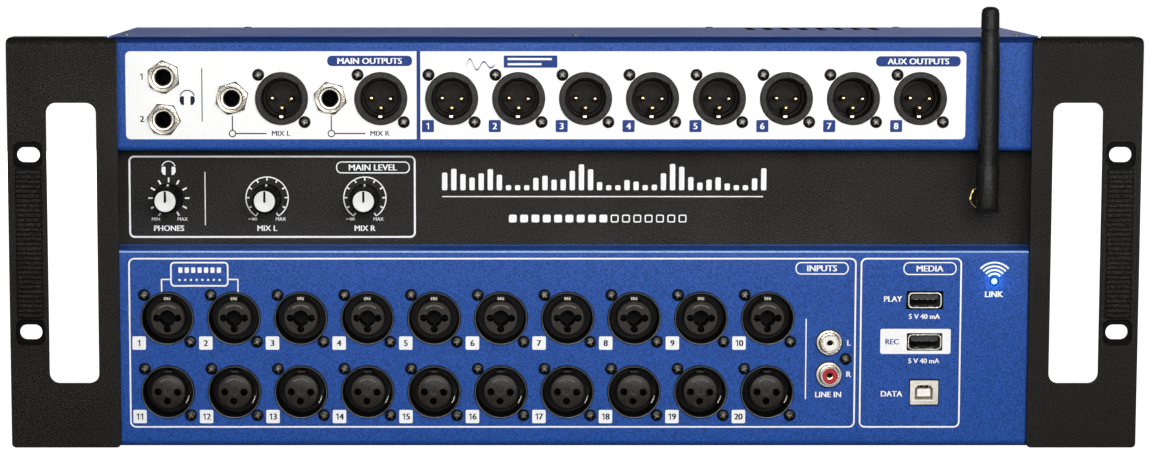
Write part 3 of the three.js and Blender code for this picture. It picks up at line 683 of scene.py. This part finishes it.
def female_receptacle():
    """Insert with three contact holes and a key mark in a ring groove, inside the shared shell."""
    contacts = ((-4.3, 0), (4.0, -0.2), (-0.4, -4.0))
    centre = (-0.1, 0.2)
    insert = Build().lathe([(0, -0.1), (6.8, -0.1), (7.2, 0.1), (7.4, 0.5), (7.4, 10.5), (0, 10.5)],
                           INSERT_GREY, steps=64)
    holes = Build()
    # the contact holes are near-black as painted shade
    for place in contacts:
        holes.lathe([(0, 8), (1.35, 8), (1.35, 0.4), (1.75, -0.4), (0, -0.4)], BORE_SHADE,
                    at=place, steps=24)
    holes.lathe([(0, 0.35), (0.75, 0.35), (0.9, -0.4), (0, -0.4)], INSERT_GREY, at=centre, steps=24)
    insert.cut(holes)
    insert.torus([(1.5, 0.05), (1.35, -0.25), (1.6, -0.3), (1.75, 0.05)], INSERT_GREY, at=centre,
                 steps=32)
    for place in contacts:
        # dark collars deep in the contact holes, painted shade
        insert.torus([(0.95, 7.9), (0.95, 7.2), (1.3, 7.2), (1.3, 7.9)], CAVITY_SHADE, at=place,
                     steps=20)
    # raised bands for the embossing, coloured lighter as a painted highlight
    insert.prism(sector(*centre, 5.0, 5.6, 50, 130, 16), -0.25, 0.2, HIGHLIGHT_GREY)
    insert.prism(sector(*centre, 1.25, 1.55, 0, 350, 24), -0.25, 0.2, HIGHLIGHT_GREY)
    merged = receptacle_shell()
    merged.prism(sector(0, 0, 8.75, 9.2, -34, -12, 8), 1.2, 9.9, BRIGHT_NICKEL)
    merged.prism(rounded(-1.6, 1.6, 8.15, 9.0, 0.3, 4), 1.5, 9.9, SHELL_GREY)
    return add_builds(merged, insert).mesh("female_receptacle")


def combo_receptacle():
    """Insert with a jack bore and three contact holes, and the release latch above it."""
    insert = Build().lathe([(0, -0.1), (6.9, -0.1), (7.3, 0.15), (7.5, 0.6), (7.5, 10.5),
                            (0, 10.5)], INSERT_GREY, steps=64)
    # the jack bore and the contact holes are near-black as painted shade
    bore = Build().lathe([(0, 9.5), (3.3, 9.5), (3.3, 0.3), (3.6, -0.4), (0, -0.4)], BORE_SHADE,
                         steps=40)
    insert.cut(bore)
    for x, z in ((-4.5, 0.1), (4.5, 0.1), (0, -4.6)):
        insert.cut(Build().lathe([(0, 8.5), (1.45, 8.5), (1.45, 0.2), (1.7, -0.4), (0, -0.4)],
                                 BORE_SHADE, at=(x, z), steps=24))
    # a raised band for the embossing, coloured lighter as a painted highlight
    insert.prism(sector(0, 0, 5.3, 5.9, 50, 130, 16), -0.25, 0.2, HIGHLIGHT_GREY)
    for x, z, depth in ((-5.2, -0.4, 4.2), (5.2, -0.4, 4.2), (0.4, -5.4, 4.2),
                        (-2.6, -2.4, 2.4), (2.6, -2.4, 2.4)):
        # small dark pits in the insert, painted shade
        insert.lathe([(0, 8.5), (0.35, 8.5), (0.35, depth), (0, depth - 0.1)], CAVITY_SHADE,
                     at=(x, z), steps=12)
    merged = receptacle_shell()
    merged.prism(rounded(-1.5, 1.4, 7.9, 9.0, 0.35, 4), 0.2, 9.9, NICKEL)
    # the latch's slits are near-black as painted shade
    for across in (-0.6, 0.5):
        merged.prism(rounded(across - 0.13, across + 0.13, 8.0, 8.9, 0.1, 3), 0.1, 1, BORE_SHADE)
    merged.prism(rounded(-2.1, 2.0, 9.0, 10.2, 0.3, 4), 1.2, 9.9, SHELL_BLACK)
    return add_builds(merged, insert).mesh("combo_receptacle")


def add_builds(first, second):
    """Puts a second build's faces beside the first's, with no cutting."""
    copy = bpy.data.meshes.new("working")
    for material in second.materials:
        first.paint([], material)
    for face in second.bm.faces:
        face.material_index = first.materials.index(second.materials[face.material_index])
    bmesh.ops.recalc_face_normals(second.bm, faces=second.bm.faces[:])
    second.bm.to_mesh(copy)
    first.bm.from_mesh(copy)
    bpy.data.meshes.remove(copy)
    return first


def receptacles():
    for nodes, mesh, face in ((OUTPUTS, male_receptacle(), UPPER_FACE),
                              (COMBOS, combo_receptacle(), LOWER_FACE),
                              (INPUTS, female_receptacle(), LOWER_FACE)):
        for node in nodes:
            put(f"{node}_shell", mesh, on_face(node, face), [node])


def cross_head_screw(radius, height, metal=BLACK_SCREW):
    """Pan-head screw with a cross recess, its head standing on depth zero."""
    crown = [(0, -height), (radius * 0.45, -height * 0.97), (radius * 0.75, -height * 0.8),
             (radius * 0.94, -height * 0.45), (radius, -height * 0.15), (radius, 0.05),
             (radius * 0.55, 0.05), (radius * 0.55, 3), (0, 3)]
    screw = Build().lathe(crown, metal, steps=28)
    # the cross recess is lighter metal, partly wear by the driver and partly a painted glint
    for along, across in ((0.62, 0.15), (0.15, 0.62)):
        arm = Build()
        ends = []
        for depth, spread in ((-height - 0.4, 1.2), (-height * 0.3, 0.6)):
            ends.append([arm.bm.verts.new((radius * along * u * spread, depth,
                                           radius * across * v * spread))
                         for u, v in ((-1, -1), (1, -1), (1, 1), (-1, 1))])
        walls = [arm.bm.faces.new([ends[0][i], ends[0][i - 1], ends[1][i - 1], ends[1][i]])
                 for i in range(4)]
        arm.paint(walls + [arm.bm.faces.new(end) for end in ends], CROSS_GLINT_AND_WEAR)
        screw.cut(arm)
    return screw.mesh("cross_head_screw")


def joined(name, mesh, places, stand=Matrix.Identity(4)):
    """One piece made of copies of a mesh at places (x, y, z, turn), in millimetres.

    turn is about the mesh's own axis; stand then turns that axis away from Y.
    """
    bm = bmesh.new()
    for x, y, z, turn in places:
        copy = mesh.copy()
        copy.transform(Matrix.Translation(Vector((x, y, z)) * MM) @ stand
                       @ Matrix.Rotation(turn, 4, "Y"))
        bm.from_mesh(copy)
        bpy.data.meshes.remove(copy)
    whole = bpy.data.meshes.new(name)
    bm.to_mesh(whole)
    for material in mesh.materials:
        whole.materials.append(material)
    put(name, whole)


def screws():
    """Every screw that shows, with the crosses at many angles."""
    head = cross_head_screw(2.6, 1.4)
    places = []
    for index, (x, face, z) in enumerate(receptacle_places()):
        for dx, dz in ((-9.9, 10.1), (9.8, -10.1)):
            places.append((x + dx, face, z + dz, math.radians(37 * index + 20 * dx)))
    phono = middle("line_in_phono")
    places.append((phono.x + 7.1, LOWER_FACE, 38.0, 0.4))
    joined("receptacle_screws", head, places)
    cover_places = [(x, 31, BODY_TOP, 0.3 * x) for x in (-193.6, 1.2, 192.5)]
    cover_places += [(x, 113, BODY_TOP, 0.2 * x) for x in (-147.6, 65, 151)]
    flat = cross_head_screw(1.9, 0.5, NICKEL)
    joined("cover_screws", flat, cover_places, Matrix.Rotation(-math.pi / 2, 4, "X"))
    for side, name in ((-1, "ear_screws_left"), (1, "ear_screws_right")):
        ear_places = [(side * FLANGE_OUTER, y, z, y + z)
                      for y in (35, 80) for z in (25, EAR_MIDDLE, 151)]
        joined(name, head, ear_places, Matrix.Rotation(side * math.pi / 2, 4, "Z"))
    back = high("rear_panel").y
    rear_places = [(x, back, z, x + z) for x in (-190, -60, 60, 190) for z in (8, 168)]
    joined("rear_screws", head, rear_places, Matrix.Rotation(math.pi, 4, "Z"))


def phone_jacks():
    """Threaded bushing, knurled washer and hexagon nut of each quarter-inch jack; its bore, grooves and
    a thin outline under the nut are painted shade.
    """
    nut = Build()
    across = 7.0
    nut.prism(disc(0, 0, across, 6), -2.1, -0.3, BRIGHT_NICKEL, holes=[disc(0, 0, 4.9, 40)])
    chamfer = Build().lathe([(0, -2.3), (5.8, -2.3), (7.15, -1.5), (7.15, -0.6), (6.6, -0.25),
                             (0, -0.25)], BRIGHT_NICKEL, steps=64)
    nut.boolean(chamfer, "INTERSECT")
    # painted shadow: a thin near-black outline under the nut, and dark grooves round the bushing
    nut.prism(disc(0, 0, across + 0.3, 6), -0.35, -0.02, BORE_SHADE, holes=[disc(0, 0, 4.9, 40)])
    nut.torus([(4.7, -1.9), (4.7, -2.16), (5.0, -2.18), (5.0, -1.9)], BORE_SHADE, steps=56)
    nut.torus([(5.45, -1.9), (5.45, -2.14), (5.62, -2.14), (5.62, -1.9)], BORE_SHADE, steps=56)
    for inner, outer in ((5.05, 5.4), (5.7, 6.05)):
        nut.torus([(inner, -2.05), (inner + 0.08, -2.34), (outer - 0.08, -2.4), (outer, -2.05)],
                  NICKEL, steps=64)
    bushing = Build().lathe([
        (0, 17.5), (3.25, 17.5), (3.25, -2.3), (3.5, -2.9), (3.9, -3.3), (4.35, -3.35),
        (4.7, -3.0), (4.75, 1.9), *housing(6.5)], BRIGHT_NICKEL, steps=56)
    # the bore and its thread grooves are painted near-black as painted shade
    bushing.paint_bore(3.35, (-1.8, math.inf), BORE_SHADE)
    for step in range(5):
        depth = -1.6 + 0.9 * step
        bushing.torus([(3.26, depth), (3.05, depth + 0.3), (3.26, depth + 0.6)], BORE_SHADE, steps=40)
    jack = add_builds(bushing, nut).mesh("phone_jack")
    for node, turn in zip(JACKS, (0.42, 0.1, 0.75, 0.25)):
        put(f"{node}_body", jack, on_face(node, UPPER_FACE), [node], turn=turn)


def twin_phono():
    """Two phono sockets, white over red, on one housing."""
    phono = Build()
    x = middle("line_in_phono").x
    for z, colour in zip(PHONO_HEIGHTS, (PLASTIC_WHITE, PLASTIC_RED)):
        phono.lathe([(0, 4), (5.5, 4), (5.5, -0.25), (5.25, -0.5), (4.3, -0.5), (4.15, -0.7),
                     (4.1, -4.2), (3.85, -4.5), (3.35, -4.5), (3.2, -4.2), (3.2, -1), (0, -1)],
                    BRIGHT_NICKEL, at=(x, z))
        phono.torus([(1.55, -1.2), (1.5, -4.1), (1.7, -4.35), (3.0, -4.35), (3.15, -4.1), (3.15, -1.2)],
                    colour, at=(x, z))
        # the centre hole and the groove behind the rim are near-black as painted shade
        phono.lathe([(0, -1.1), (1.5, -1.1), (1.5, -1.4), (0, -1.4)], BORE_SHADE, at=(x, z))
        phono.torus([(1.1, -1.3), (1.1, -3.6), (1.4, -3.7), (1.45, -1.3)], GOLD, at=(x, z), steps=32)
        phono.torus([(4.12, -0.45), (4.12, -0.62), (4.5, -0.62), (4.5, -0.45)], BORE_SHADE, at=(x, z))
        for start in (20, 140, 260):
            phono.prism(sector(x, z, 4.75, 5.0, start, start + 46, 10), -0.58, -0.4, NICKEL)
    phono.block(x - 6.5, x + 6.5, 1.9, HOUSING_BACK, 24.2, 52.2, PLASTIC_BLACK)
    phono.bm.transform(Matrix.Translation((0, LOWER_FACE, 0)))
    put("line_in_body", phono, nodes=["line_in_phono"])


def data_ports():
    """Type-A and type-B sockets, each made round its middle, from its rim back."""
    def install(port, node):
        port.bm.transform(Matrix.Translation(on_face(node, low(node).y)))
        put(f"{node}_shell", port, nodes=[node])

    for node in ("play_port", "record_port"):
        back = high(node).y - low(node).y
        port = Build()
        port.prism(centred(0, 0, 7.1, 3.3, 1.7, 3), 0, back, BRIGHT_NICKEL,
                   holes=[centred(0, 0, 6.75, 2.95, 1.4, 3)])
        # the back of the socket is painted near-black as painted shade
        port.prism(centred(0, 0, 6.8, 2.9, 0.9, 5), 11, back, BORE_SHADE)
        port.prism(rounded(-5.7, 5.7, 0.3, 2.3, 0.2, 3), 0.9, 11.2, PLASTIC_BLACK)
        for x in (-3.5 + 2.33 * i for i in range(4)):
            port.block(x - 0.55, x + 0.55, 1.2, 9, 0.18, 0.36, GOLD)
        for x in (-3.1, 3.1):
            port.block(x - 0.9, x + 0.9, 3.5, 8, -2.9, -2.5, BLACK_SCREW)
        install(port, node)

    back = high("host_port").y - low("host_port").y
    mouth = [(-4.3, -3.6), (4.3, -3.6), (4.3, 1.6), (2.8, 3.3), (-2.8, 3.3), (-4.3, 1.6)]
    port = Build()
    port.prism(centred(0, 0, 6, 5.2, 0.5, 4), 0, back, BRIGHT_NICKEL, holes=[mouth])
    port.prism(mouth, 0.4, 10, PLASTIC_WHITE, holes=[[(x * 0.93, z * 0.93) for x, z in mouth]])
    port.prism(mouth, 9.5, back - 1, PLASTIC_WHITE)
    port.prism(rounded(-2.8, 2.8, -1.8, 1.4, 0.3, 3), 0.9, 9.8, PLASTIC_WHITE)
    for x in (-1.25, 1.25):
        for z in (1.5, -1.9):
            port.block(x - 0.4, x + 0.4, 1.2, 8, z - 0.1, z + 0.12, GOLD)
        # two small near-black dots, painted shade
        port.prism(disc(x, 2.6, 0.55, 16), 0.3, 1, BORE_SHADE)
    install(port, "host_port")


# ---------------------------------------------------------------- controls and aerial

def knobs():
    """Black skirted knob with a white cap, round its axis at the recess face."""
    front = low("phones_knob").y - MIDDLE_FACE
    body = Build().lathe([
        (0, front + 0.4), (4.5, front + 0.4), (4.62, front + 0.05), (5.1, front + 0.1),
        (5.4, front + 0.5), (5.7, -4.5), (5.95, -2.6), (6.3, -2.2), (6.3, -0.9), (6.05, -0.5),
        (4.4, -0.5), (4.4, -5.2), (2.9, -5.2), (2.9, KNOB_SHAFT), (0, KNOB_SHAFT)],
        KNOB_BLACK, steps=72)
    flutes = Build()
    for place in disc(0, 0, 5.75, 18, 10):
        flutes.lathe([(0, front - 1), (0.5, front - 1), (0.5, -3.4), (0, -3.2)], KNOB_BLACK,
                     at=place, steps=10)
    body.cut(flutes)
    body.lathe([(0, front + 0.5), (4.45, front + 0.5), (4.5, front + 0.15), (4.3, front),
                (3.7, front + 0.02), (2.2, front + 0.2), (1.0, front + 0.28), (0, front + 0.3)],
               CAP_WHITE, steps=64)
    body.prism(rounded(-0.48, 0.48, -0.5, 4.35, 0.4, 5), front - 0.06, front + 0.3, KNOB_BLACK)
    body.block(-0.32, 0.32, -4.4, -2.3, 5.5, 6.25, CAP_WHITE)
    mesh = body.mesh("knob")
    for node in KNOBS:
        put(f"{node}_cap", mesh, on_face(node, MIDDLE_FACE), [node], body=node)


def aerial():
    """Gold bulkhead socket, elbow that swivels on it, and mast hinged on the elbow's tongue."""
    x, z = spot("antenna_socket")
    socket = Build()
    socket.lathe([(0, -1.5), (2.1, -1.5), (2.1, -8.4), (2.9, -8.5), (3.2, -8.1), (3.2, -2.1),
                  (3.6, -2.1), (3.9, -1.7), (4.0, -0.35), (2.9, -0.3), (2.9, 9), (0, 9)], GOLD)
    socket.prism(disc(0, 0, 4.85, 6, 12), -1.9, -0.6, GOLD, holes=[disc(0, 0, 3.3, 32)])
    socket.prism(disc(0, 0, 4.85, 48), -0.62, -0.25, GOLD, holes=[disc(0, 0, 3.3, 32)])
    for i in range(9):
        depth = -8 + 0.62 * i
        socket.torus([(3.19, depth), (3.34, depth + 0.16), (3.19, depth + 0.32)], GOLD, steps=32)
    put("aerial_socket", socket, (x, MIDDLE_FACE, z), ["antenna_socket"])

    front, back = 7.6, high("antenna_elbow").y
    elbow = Build().lathe([(0, front), (4.2, front), (4.7, front + 0.5), (4.7, back - 0.4),
                           (4.4, back), (3.9, back), (3.9, 10.8), (0, 10.8)], RUBBER)
    grooves = Build()
    for place in disc(0, 0, 4.72, 24):
        grooves.lathe([(0, front + 1.2), (0.28, front + 1.2), (0.28, back - 1), (0, back - 1)],
                      RUBBER, at=place, steps=8)
    elbow.cut(grooves)
    mast_y = middle("antenna_mast").y
    tongue = ([(front + 0.5, 2.4)] + arc(mast_y, 0, 2.4, 90, 270, 16) + [(front + 0.5, -2.4)])
    elbow.prism(tongue, -1.35, 1.35, RUBBER, axis="X")
    piece = put("aerial_elbow", elbow, (x, 0, z), ["antenna_elbow"],
                body="antenna_elbow")
    soften(piece, 0.2)

    tip = high("antenna_mast").z - z
    profile = [(0, -4.7), (4.7, -4.7), (4.7, 15.3), (4.5, 15.7), (4.2, 15.8), (4.15, 16.6),
               (4.35, 22), (4.4, 34), (4.25, 58), (3.8, 72.2), (3.6, 72.5), (3.6, 73.3),
               (3.88, 73.6), (3.8, 80), (3.4, tip - 1.2), (2.5, tip - 0.45), (1.4, tip - 0.1),
               (0, tip)]
    mast = Build().lathe(profile, RUBBER, steps=56)
    mast.bm.transform(Matrix.Rotation(math.pi / 2, 4, "X"))
    foot = [(5, tip + 1), (-5, tip + 1), (-4.72, 0), (-4.55, -1.6), (-4.0, -3.2), (-2.7, -4.7),
            (2.7, -4.7), (4.0, -3.2), (4.55, -1.6), (4.72, 0)]
    mast.boolean(Build().prism(foot, -6, 6, RUBBER, axis="X"), "INTERSECT")
    slot = ([(8, -8), (8, 2.7), (0, 2.7)] + arc(0, 0, 2.7, 90, 180, 12) + [(-2.7, -8)])
    mast.cut(Build().prism(slot, -1.6, 1.6, RUBBER, axis="X"))
    for ends in ((-4.72, -4.2), (4.2, 4.72)):
        mast.prism(disc(0, 0, 1.5, 28), *ends, SHELL_GREY, axis="X")
    put("aerial_mast", mast, (x, mast_y, z), ["antenna_mast"], body="antenna_mast")


def lamp():
    """Lit lens in a blue bezel, with a small light in front of it that tints the panel."""
    x, z = spot("wifi_lamp")
    lens = Build().lathe([(0, -0.7), (0.6, -0.6), (1.0, -0.35), (1.25, 0), (1.25, 7.8), (0, 7.8)],
                         LED, steps=32)
    lens.torus([(1.3, 8), (1.3, -0.15), (1.5, -0.3), (1.7, -0.3), (1.85, -0.1), (1.85, 8)], BLUE_INK,
               steps=32)
    put("lamp_lens", lens, (x, LOWER_FACE, z), ["wifi_lamp"])
    glow = add_object("lamp_glow", bpy.data.lights.new("lamp_glow", "POINT"))
    glow.data.color = (0.2, 0.7, 1)
    glow.data.energy = 0.0016
    glow.data.shadow_soft_size = 0.0015
    glow.location = ROW @ Vector((x, LOWER_FACE - 3.2, z))


# ---------------------------------------------------------------- printing

INK_MATERIAL = {"label": LABEL, "white": WHITE_INK, "blue": BLUE_INK, "dark": DARK_INK}
INKS = {name: Build() for name in INK_MATERIAL}


def ink(colour, outline, face, layer=1, holes=()):
    """Prints a flat shape on a face; a higher layer lies over a lower one."""
    INKS[colour].prism(outline, face - INK * layer, face + SUNK, INK_MATERIAL[colour], holes=holes)


def ring(x0, x1, z0, z1, radius, width, face):
    """Prints the outline of a round-cornered box in white."""
    inner = rounded(x0 + width, x1 - width, z0 + width, z1 - width, max(0.1, radius - width))
    ink("white", rounded(x0, x1, z0, z1, radius), face, holes=[inner])


def words(colour, text, x, z, height, face, layer=1, align=0, weight=0.045, wide=1.0):
    """Prints lettering of a given capital height; align is -1 left, 0 middle, 1 right of x.

    weight thickens the upright strokes, as a share of the height; wide stretches the letters.
    """
    curve = bpy.data.curves.new("words", "FONT")
    curve.body = text
    curve.size = height / CAPITAL
    curve.extrude = (INK * layer + SUNK) / 2
    curve.resolution_u = 3
    thing = add_object("words", curve)
    depsgraph = bpy.context.evaluated_depsgraph_get()
    mesh = bpy.data.meshes.new_from_object(thing.evaluated_get(depsgraph))
    mesh.transform(Matrix.Diagonal((wide, 1, 1, 1)))
    xs = [v.co.x for v in mesh.vertices]
    zs = [v.co.y for v in mesh.vertices]
    anchor = {-1: min(xs), 0: (min(xs) + max(xs)) / 2, 1: max(xs)}[align]
    depth = face + (SUNK - INK * layer) / 2
    mesh.transform(Matrix.Translation((x - anchor, depth, z - (min(zs) + max(zs)) / 2))
                   @ Matrix.Rotation(math.pi / 2, 4, "X"))
    build = INKS[colour]
    build.paint([], INK_MATERIAL[colour])
    mesh.transform(Matrix.Translation((-weight * height, 0, 0)))
    build.bm.from_mesh(mesh)
    mesh.transform(Matrix.Translation((2 * weight * height, 0.002, 0)))
    build.bm.from_mesh(mesh)
    bpy.data.objects.remove(thing)
    bpy.data.meshes.remove(mesh)


def number(colour, text, x, z, height, face, layer=1, weight=0.045):
    """Prints a number whose ones have a flag; x is its middle."""
    step = 0.66 * height
    for i, figure in enumerate(text):
        place = x + step * (i - (len(text) - 1) / 2)
        if figure == "1":
            one = [(0, -0.5), (0.17, -0.5), (0.17, 0.5), (0.04, 0.5), (-0.22, 0.34), (-0.22, 0.17),
                   (0, 0.3)]
            ink(colour, [(place + u * height, z + v * height) for u, v in one], face, layer)
        else:
            words(colour, figure, place, z, height, face, layer, weight=weight)


def pill(x0, x1, z0, z1, text, face, filled=False):
    """A round-ended box with a word in it, filled in blue or outlined in white."""
    radius = (z1 - z0) / 2 - 0.3
    x, z = (x0 + x1) / 2, (z0 + z1) / 2
    if filled:
        ink("blue", rounded(x0, x1, z0, z1, radius), face, 2)
        words("white", text, x, z, 2.6, face, 3, weight=0.06, wide=1.07)
    else:
        ring(x0, x1, z0, z1, radius, 0.5, face)
        words("white", text, x, z, 2.7, face, weight=0.05, wide=1.05)


def headphones(colour, x, z, size, face, layer=1):
    """Headband and two ear cups."""
    half = size / 2
    ink(colour, sector(x, z, half * 0.86, half, 15, 165), face, layer)
    for side in (-1, 1):
        cup = [(x + side * half * u, z + half * v) for u, v in (
            (0.95, 0.1), (1.0, -0.5), (0.75, -0.95), (0.42, -1.0), (0.42, 0.1), (0.6, 0.2))]
        ink(colour, cup, face, layer)


def ticks(node, first, step, inner, outer, half_width):
    """Prints eleven marks round a knob, in degrees clockwise from the top."""
    centre = Vector(spot(node))
    for i in range(11):
        turn = math.radians(first + step * i)
        side = Vector((math.cos(turn), -math.sin(turn))) * half_width
        way = Vector((math.sin(turn), math.cos(turn)))
        quad = [centre + way * inner - side, centre + way * inner + side,
                centre + way * outer + side, centre + way * outer - side]
        ink("white", [tuple(p) for p in quad], MIDDLE_FACE)


def output_printing():
    """The white label of the outputs and what is printed on it."""
    face = UPPER_FACE
    holes = [disc(*spot(node), 11.35, 64) for node in OUTPUTS]
    holes += [disc(*spot(node), 5.3, 40) for node in JACKS]
    ink("label", rounded(-191.6, 167.3, 132.2, 169.8, 2), face, holes=holes)
    ink("blue", rectangle(-67.3, -65.7, 132.2, 169.8), face, 2)
    ink("dark", rectangle(-159.2, -158.8, 139.8, 162.6), face, 2)
    headphones("dark", -165.3, 150.1, 6.6, face, 2)
    for text, z in (("1", 159.0), ("2", 140.9)):
        number("dark", text, -184.7, z, 2.7, face, 2)
    pill(-105.4, -69.2, 163.5, 167.9, "MAIN OUTPUTS", face, filled=True)
    pill(128.8, 164.9, 163.3, 167.7, "AUX OUTPUTS", face, filled=True)
    for name, x in (("MIX L", -146.1), ("MIX R", -103.8)):
        ink("dark", disc(x, 134.65, 1.6), face, 2, [disc(x, 134.65, 1.15)])
        ink("dark", rectangle(x - 0.25, x + 0.25, 136.1, 142.4), face, 2)
        ink("dark", rectangle(x + 1.5, x + 14.6, 134.4, 134.9), face, 2)
        words("dark", name, x + 20.8, 134.7, 2.3, face, 2, weight=0.03)
    for i, node in enumerate(OUTPUTS[2:]):
        x, z = middle(node).x - 10.2, middle(node).z - 11.8
        ink("blue", centred(x, z, 2.6, 2.6, 0.6), face, 2)
        number("white", str(i + 1), x, z, 2.8, face, 3, weight=0.06)
    wave = [(-46 + 12 * i / 24, 164.2 + 3.2 * math.sin(i / 24 * 4 * math.pi) * math.exp(-i / 20))
            for i in range(25)]
    ink("blue", wave + [(x, z - 0.7) for x, z in reversed(wave)], face, 2)
    ink("blue", rounded(-30.1, -7.2, 162.8, 168.0, 0.5), face, 2)
    for z, end in ((166.5, -9.6), (164.3, -14)):
        ink("white", rectangle(-28.4, end, z - 0.45, z + 0.45), face, 3)


def control_printing():
    """Scales and names of the knobs, and the row of bars on the recessed face."""
    face = MIDDLE_FACE
    ring(-192.2, -68.1, 88.5, 124.2, 2.4, 0.8, face)
    ink("white", rectangle(-159.4, -159.0, 94, 117.2), face)
    headphones("white", -174.9, 118.9, 6.2, face)
    pill(-102.5, -70.6, 116.5, 121.7, "MAIN LEVEL", face)
    ticks("phones_knob", -150, 30, 6.9, 8.9, 0.36)
    for node in ("mix_l_knob", "mix_r_knob"):
        ink("white", sector(*spot(node), 8.9, 9.4, -58, 238, 60), face)
        ticks(node, -148, 29.6, 7.6, 9.1, 0.3)
    for node, name in zip(KNOBS, ("PHONES", "MIX L", "MIX R")):
        x = middle(node).x
        words("white", name, x, 92.7, 2.5, face)
        words("white", "MAX", x + 5.9, 96.7, 1.5, face, weight=0.02)
        if name == "PHONES":
            words("white", "MIN", x - 5.7, 96.7, 1.5, face, weight=0.02)
        else:
            ink("white", rectangle(x - 8.1, x - 7.1, 96.55, 96.85), face)
            for loop in (x - 6.1, x - 5.0):
                ink("white", disc(loop, 96.7, 0.62, 20), face, holes=[disc(loop, 96.7, 0.32, 16)])
    for i in range(36):
        x = -56.7 + 140.3 * i / 35.6
        height = 12 * (0.42 + 0.3 * math.sin(i * 0.55) + 0.26 * math.sin(i * 1.27 + 1))
        ink("white", rounded(x, x + 2.3, 109.2, 109.2 + max(2.2, height), 0.6, 3), face)
    ink("white", rectangle(-56.7, 82.1, 106.2, 106.7), face)
    for i in range(16):
        x = -27.8 + 4.9 * i
        holes = [] if i < 9 else [rounded(x + 0.5, x + 2.9, 95.7, 98.1, 0.4, 3)]
        ink("white", rounded(x, x + 3.4, 95.2, 98.6, 0.7, 3), face, holes=holes)


def input_printing():
    """Boxes, numbers and names on the lower face."""
    face = LOWER_FACE
    ring(-190.8, 121.0, 8.15, 81.7, 2.6, 0.7, face)
    ring(122.7, 166.1, 8.15, 81.7, 2.6, 0.7, face)
    pill(94.8, 117.6, 74.5, 79.9, "INPUTS", face)
    pill(141.0, 163.8, 74.3, 79.9, "MEDIA", face)
    for channel, node in enumerate(COMBOS + INPUTS, 1):
        x, z = middle(node).x - 12.2, middle(node).z - 10.7
        ink("white", centred(x, z, 2.9, 2.9, 0.6), face)
        number("dark", str(channel), x, z, 2.7, face, 2, weight=0.05)
    ring(-172.9, -147.9, 69.3, 80.0, 1.8, 0.7, face)
    for i in range(7):
        ink("white", rounded(-169.4 + 2.75 * i, -167.6 + 2.75 * i, 75.2, 77.6, 0.4, 3), face)
    for i in range(8):
        ink("white", disc(-168.9 + 2.45 * i, 72.2, 0.5, 12), face)
    for outer, inner in ((-176.6, -173.0), (-143.9, -147.8)):
        ink("white", rectangle(*sorted((outer, inner)), 72.1, 72.7), face)
        ink("white", rectangle(outer - 0.3, outer + 0.3, 67.0, 72.7), face)
    ink("white", rectangle(99.4, 99.9, 20.6, 55.4), face)
    for text, x, z, height, align in (
            ("L", 118.1, 45.0, 2.5, 0), ("R", 118.1, 31.4, 2.5, 0), ("LINE IN", 109.4, 22.6, 2.5, 0),
            ("PLAY", 140.6, 64.0, 2.5, 1), ("DATA", 141.2, 22.9, 2.5, 1),
            ("5 V 40 mA", 150.3, 56.4, 2.2, 0), ("5 V 40 mA", 150.3, 37.2, 2.2, 0)):
        words("white", text, x, z, height, face, align=align)
    ink("white", rounded(131.5, 161.7, 40.2, 51.05, 0.9), face,
        holes=[rounded(142.85, 158.15, 41.6, 49.2, 0.4, 3)])
    words("blue", "REC", 136.6, 45.5, 2.4, face, 2)
    lamp_x = middle("wifi_lamp").x
    for radius in (2.9, 4.5, 6.1, 7.7):
        ink("white", sector(lamp_x, 71.6, radius, radius + 0.75, 42, 138, 16), face)
    words("white", "LINK", lamp_x, 66.0, 2.6, face)


def printing():
    output_printing()
    control_printing()
    input_printing()
    for name, build in INKS.items():
        put(f"print_{name}", build)


# ---------------------------------------------------------------- parts kept from the CAD

def kept_nodes():
    """CAD solids that already have their true shape: they get a material and soft edges."""
    looks = {
        "bottom_tray": (BLUE_COAT, 0.4), "rear_panel": (BLUE_COAT, 0.3),
        "power_inlet": (PLASTIC_BLACK, 0.4), "switch_frame": (PLASTIC_BLACK, 0.4),
        "power_rocker": (PLASTIC_BLACK, 0.5), "network_port": (TINPLATE, 0.2),
        "main_board": (BOARD, 0.15), "output_board": (BOARD, 0.15),
        "input_board": (BOARD, 0.15), "control_board": (BOARD, 0.15),
        "power_supply": (TINPLATE, 0.4),
    }
    for name, (material, width) in looks.items():
        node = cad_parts[name]
        node.data.materials.clear()
        node.data.materials.append(material)
        soften(node, width)

    def repaint(name, material, chosen):
        """Gives a second material to the faces whose middles, in millimetres, are chosen."""
        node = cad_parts[name]
        node.data.materials.append(material)
        index = len(node.data.materials) - 1
        for polygon in node.data.polygons:
            if chosen(ROW.inverted() @ (node.matrix_world @ polygon.center)):
                polygon.material_index = index

    back = high("main_board").y
    blades = ((-167, 116.2), (-160, 120), (-153, 116.2))

    def blade(place):
        return place.y < 115.6 and any(abs(place.x - x) < 1.1 and abs(place.z - z) < 2.1
                                       for x, z in blades)

    def chips(place):
        return 59 < place.x < 101 and place.y < 91

    def socket_shell(place):
        return place.y > back - 16.2 and place.z > 14

    def socket_mouth(place):
        return (back - 10.2 < place.y < back - 1.5 and place.z > 14
                and min(abs(place.x - x) - half for x, half in REAR_SOCKETS) < -0.6)

    repaint("power_inlet", NICKEL, blade)
    repaint("main_board", PLASTIC_BLACK, chips)
    repaint("main_board", TINPLATE, socket_shell)
    # the mouths of the rear sockets are painted near-black as painted shade
    repaint("main_board", BORE_SHADE, socket_mouth)


stage()
front_panel()
top_cover()
rack_ears()
receptacles()
screws()
phone_jacks()
twin_phono()
data_ports()
knobs()
aerial()
lamp()
printing()
kept_nodes()
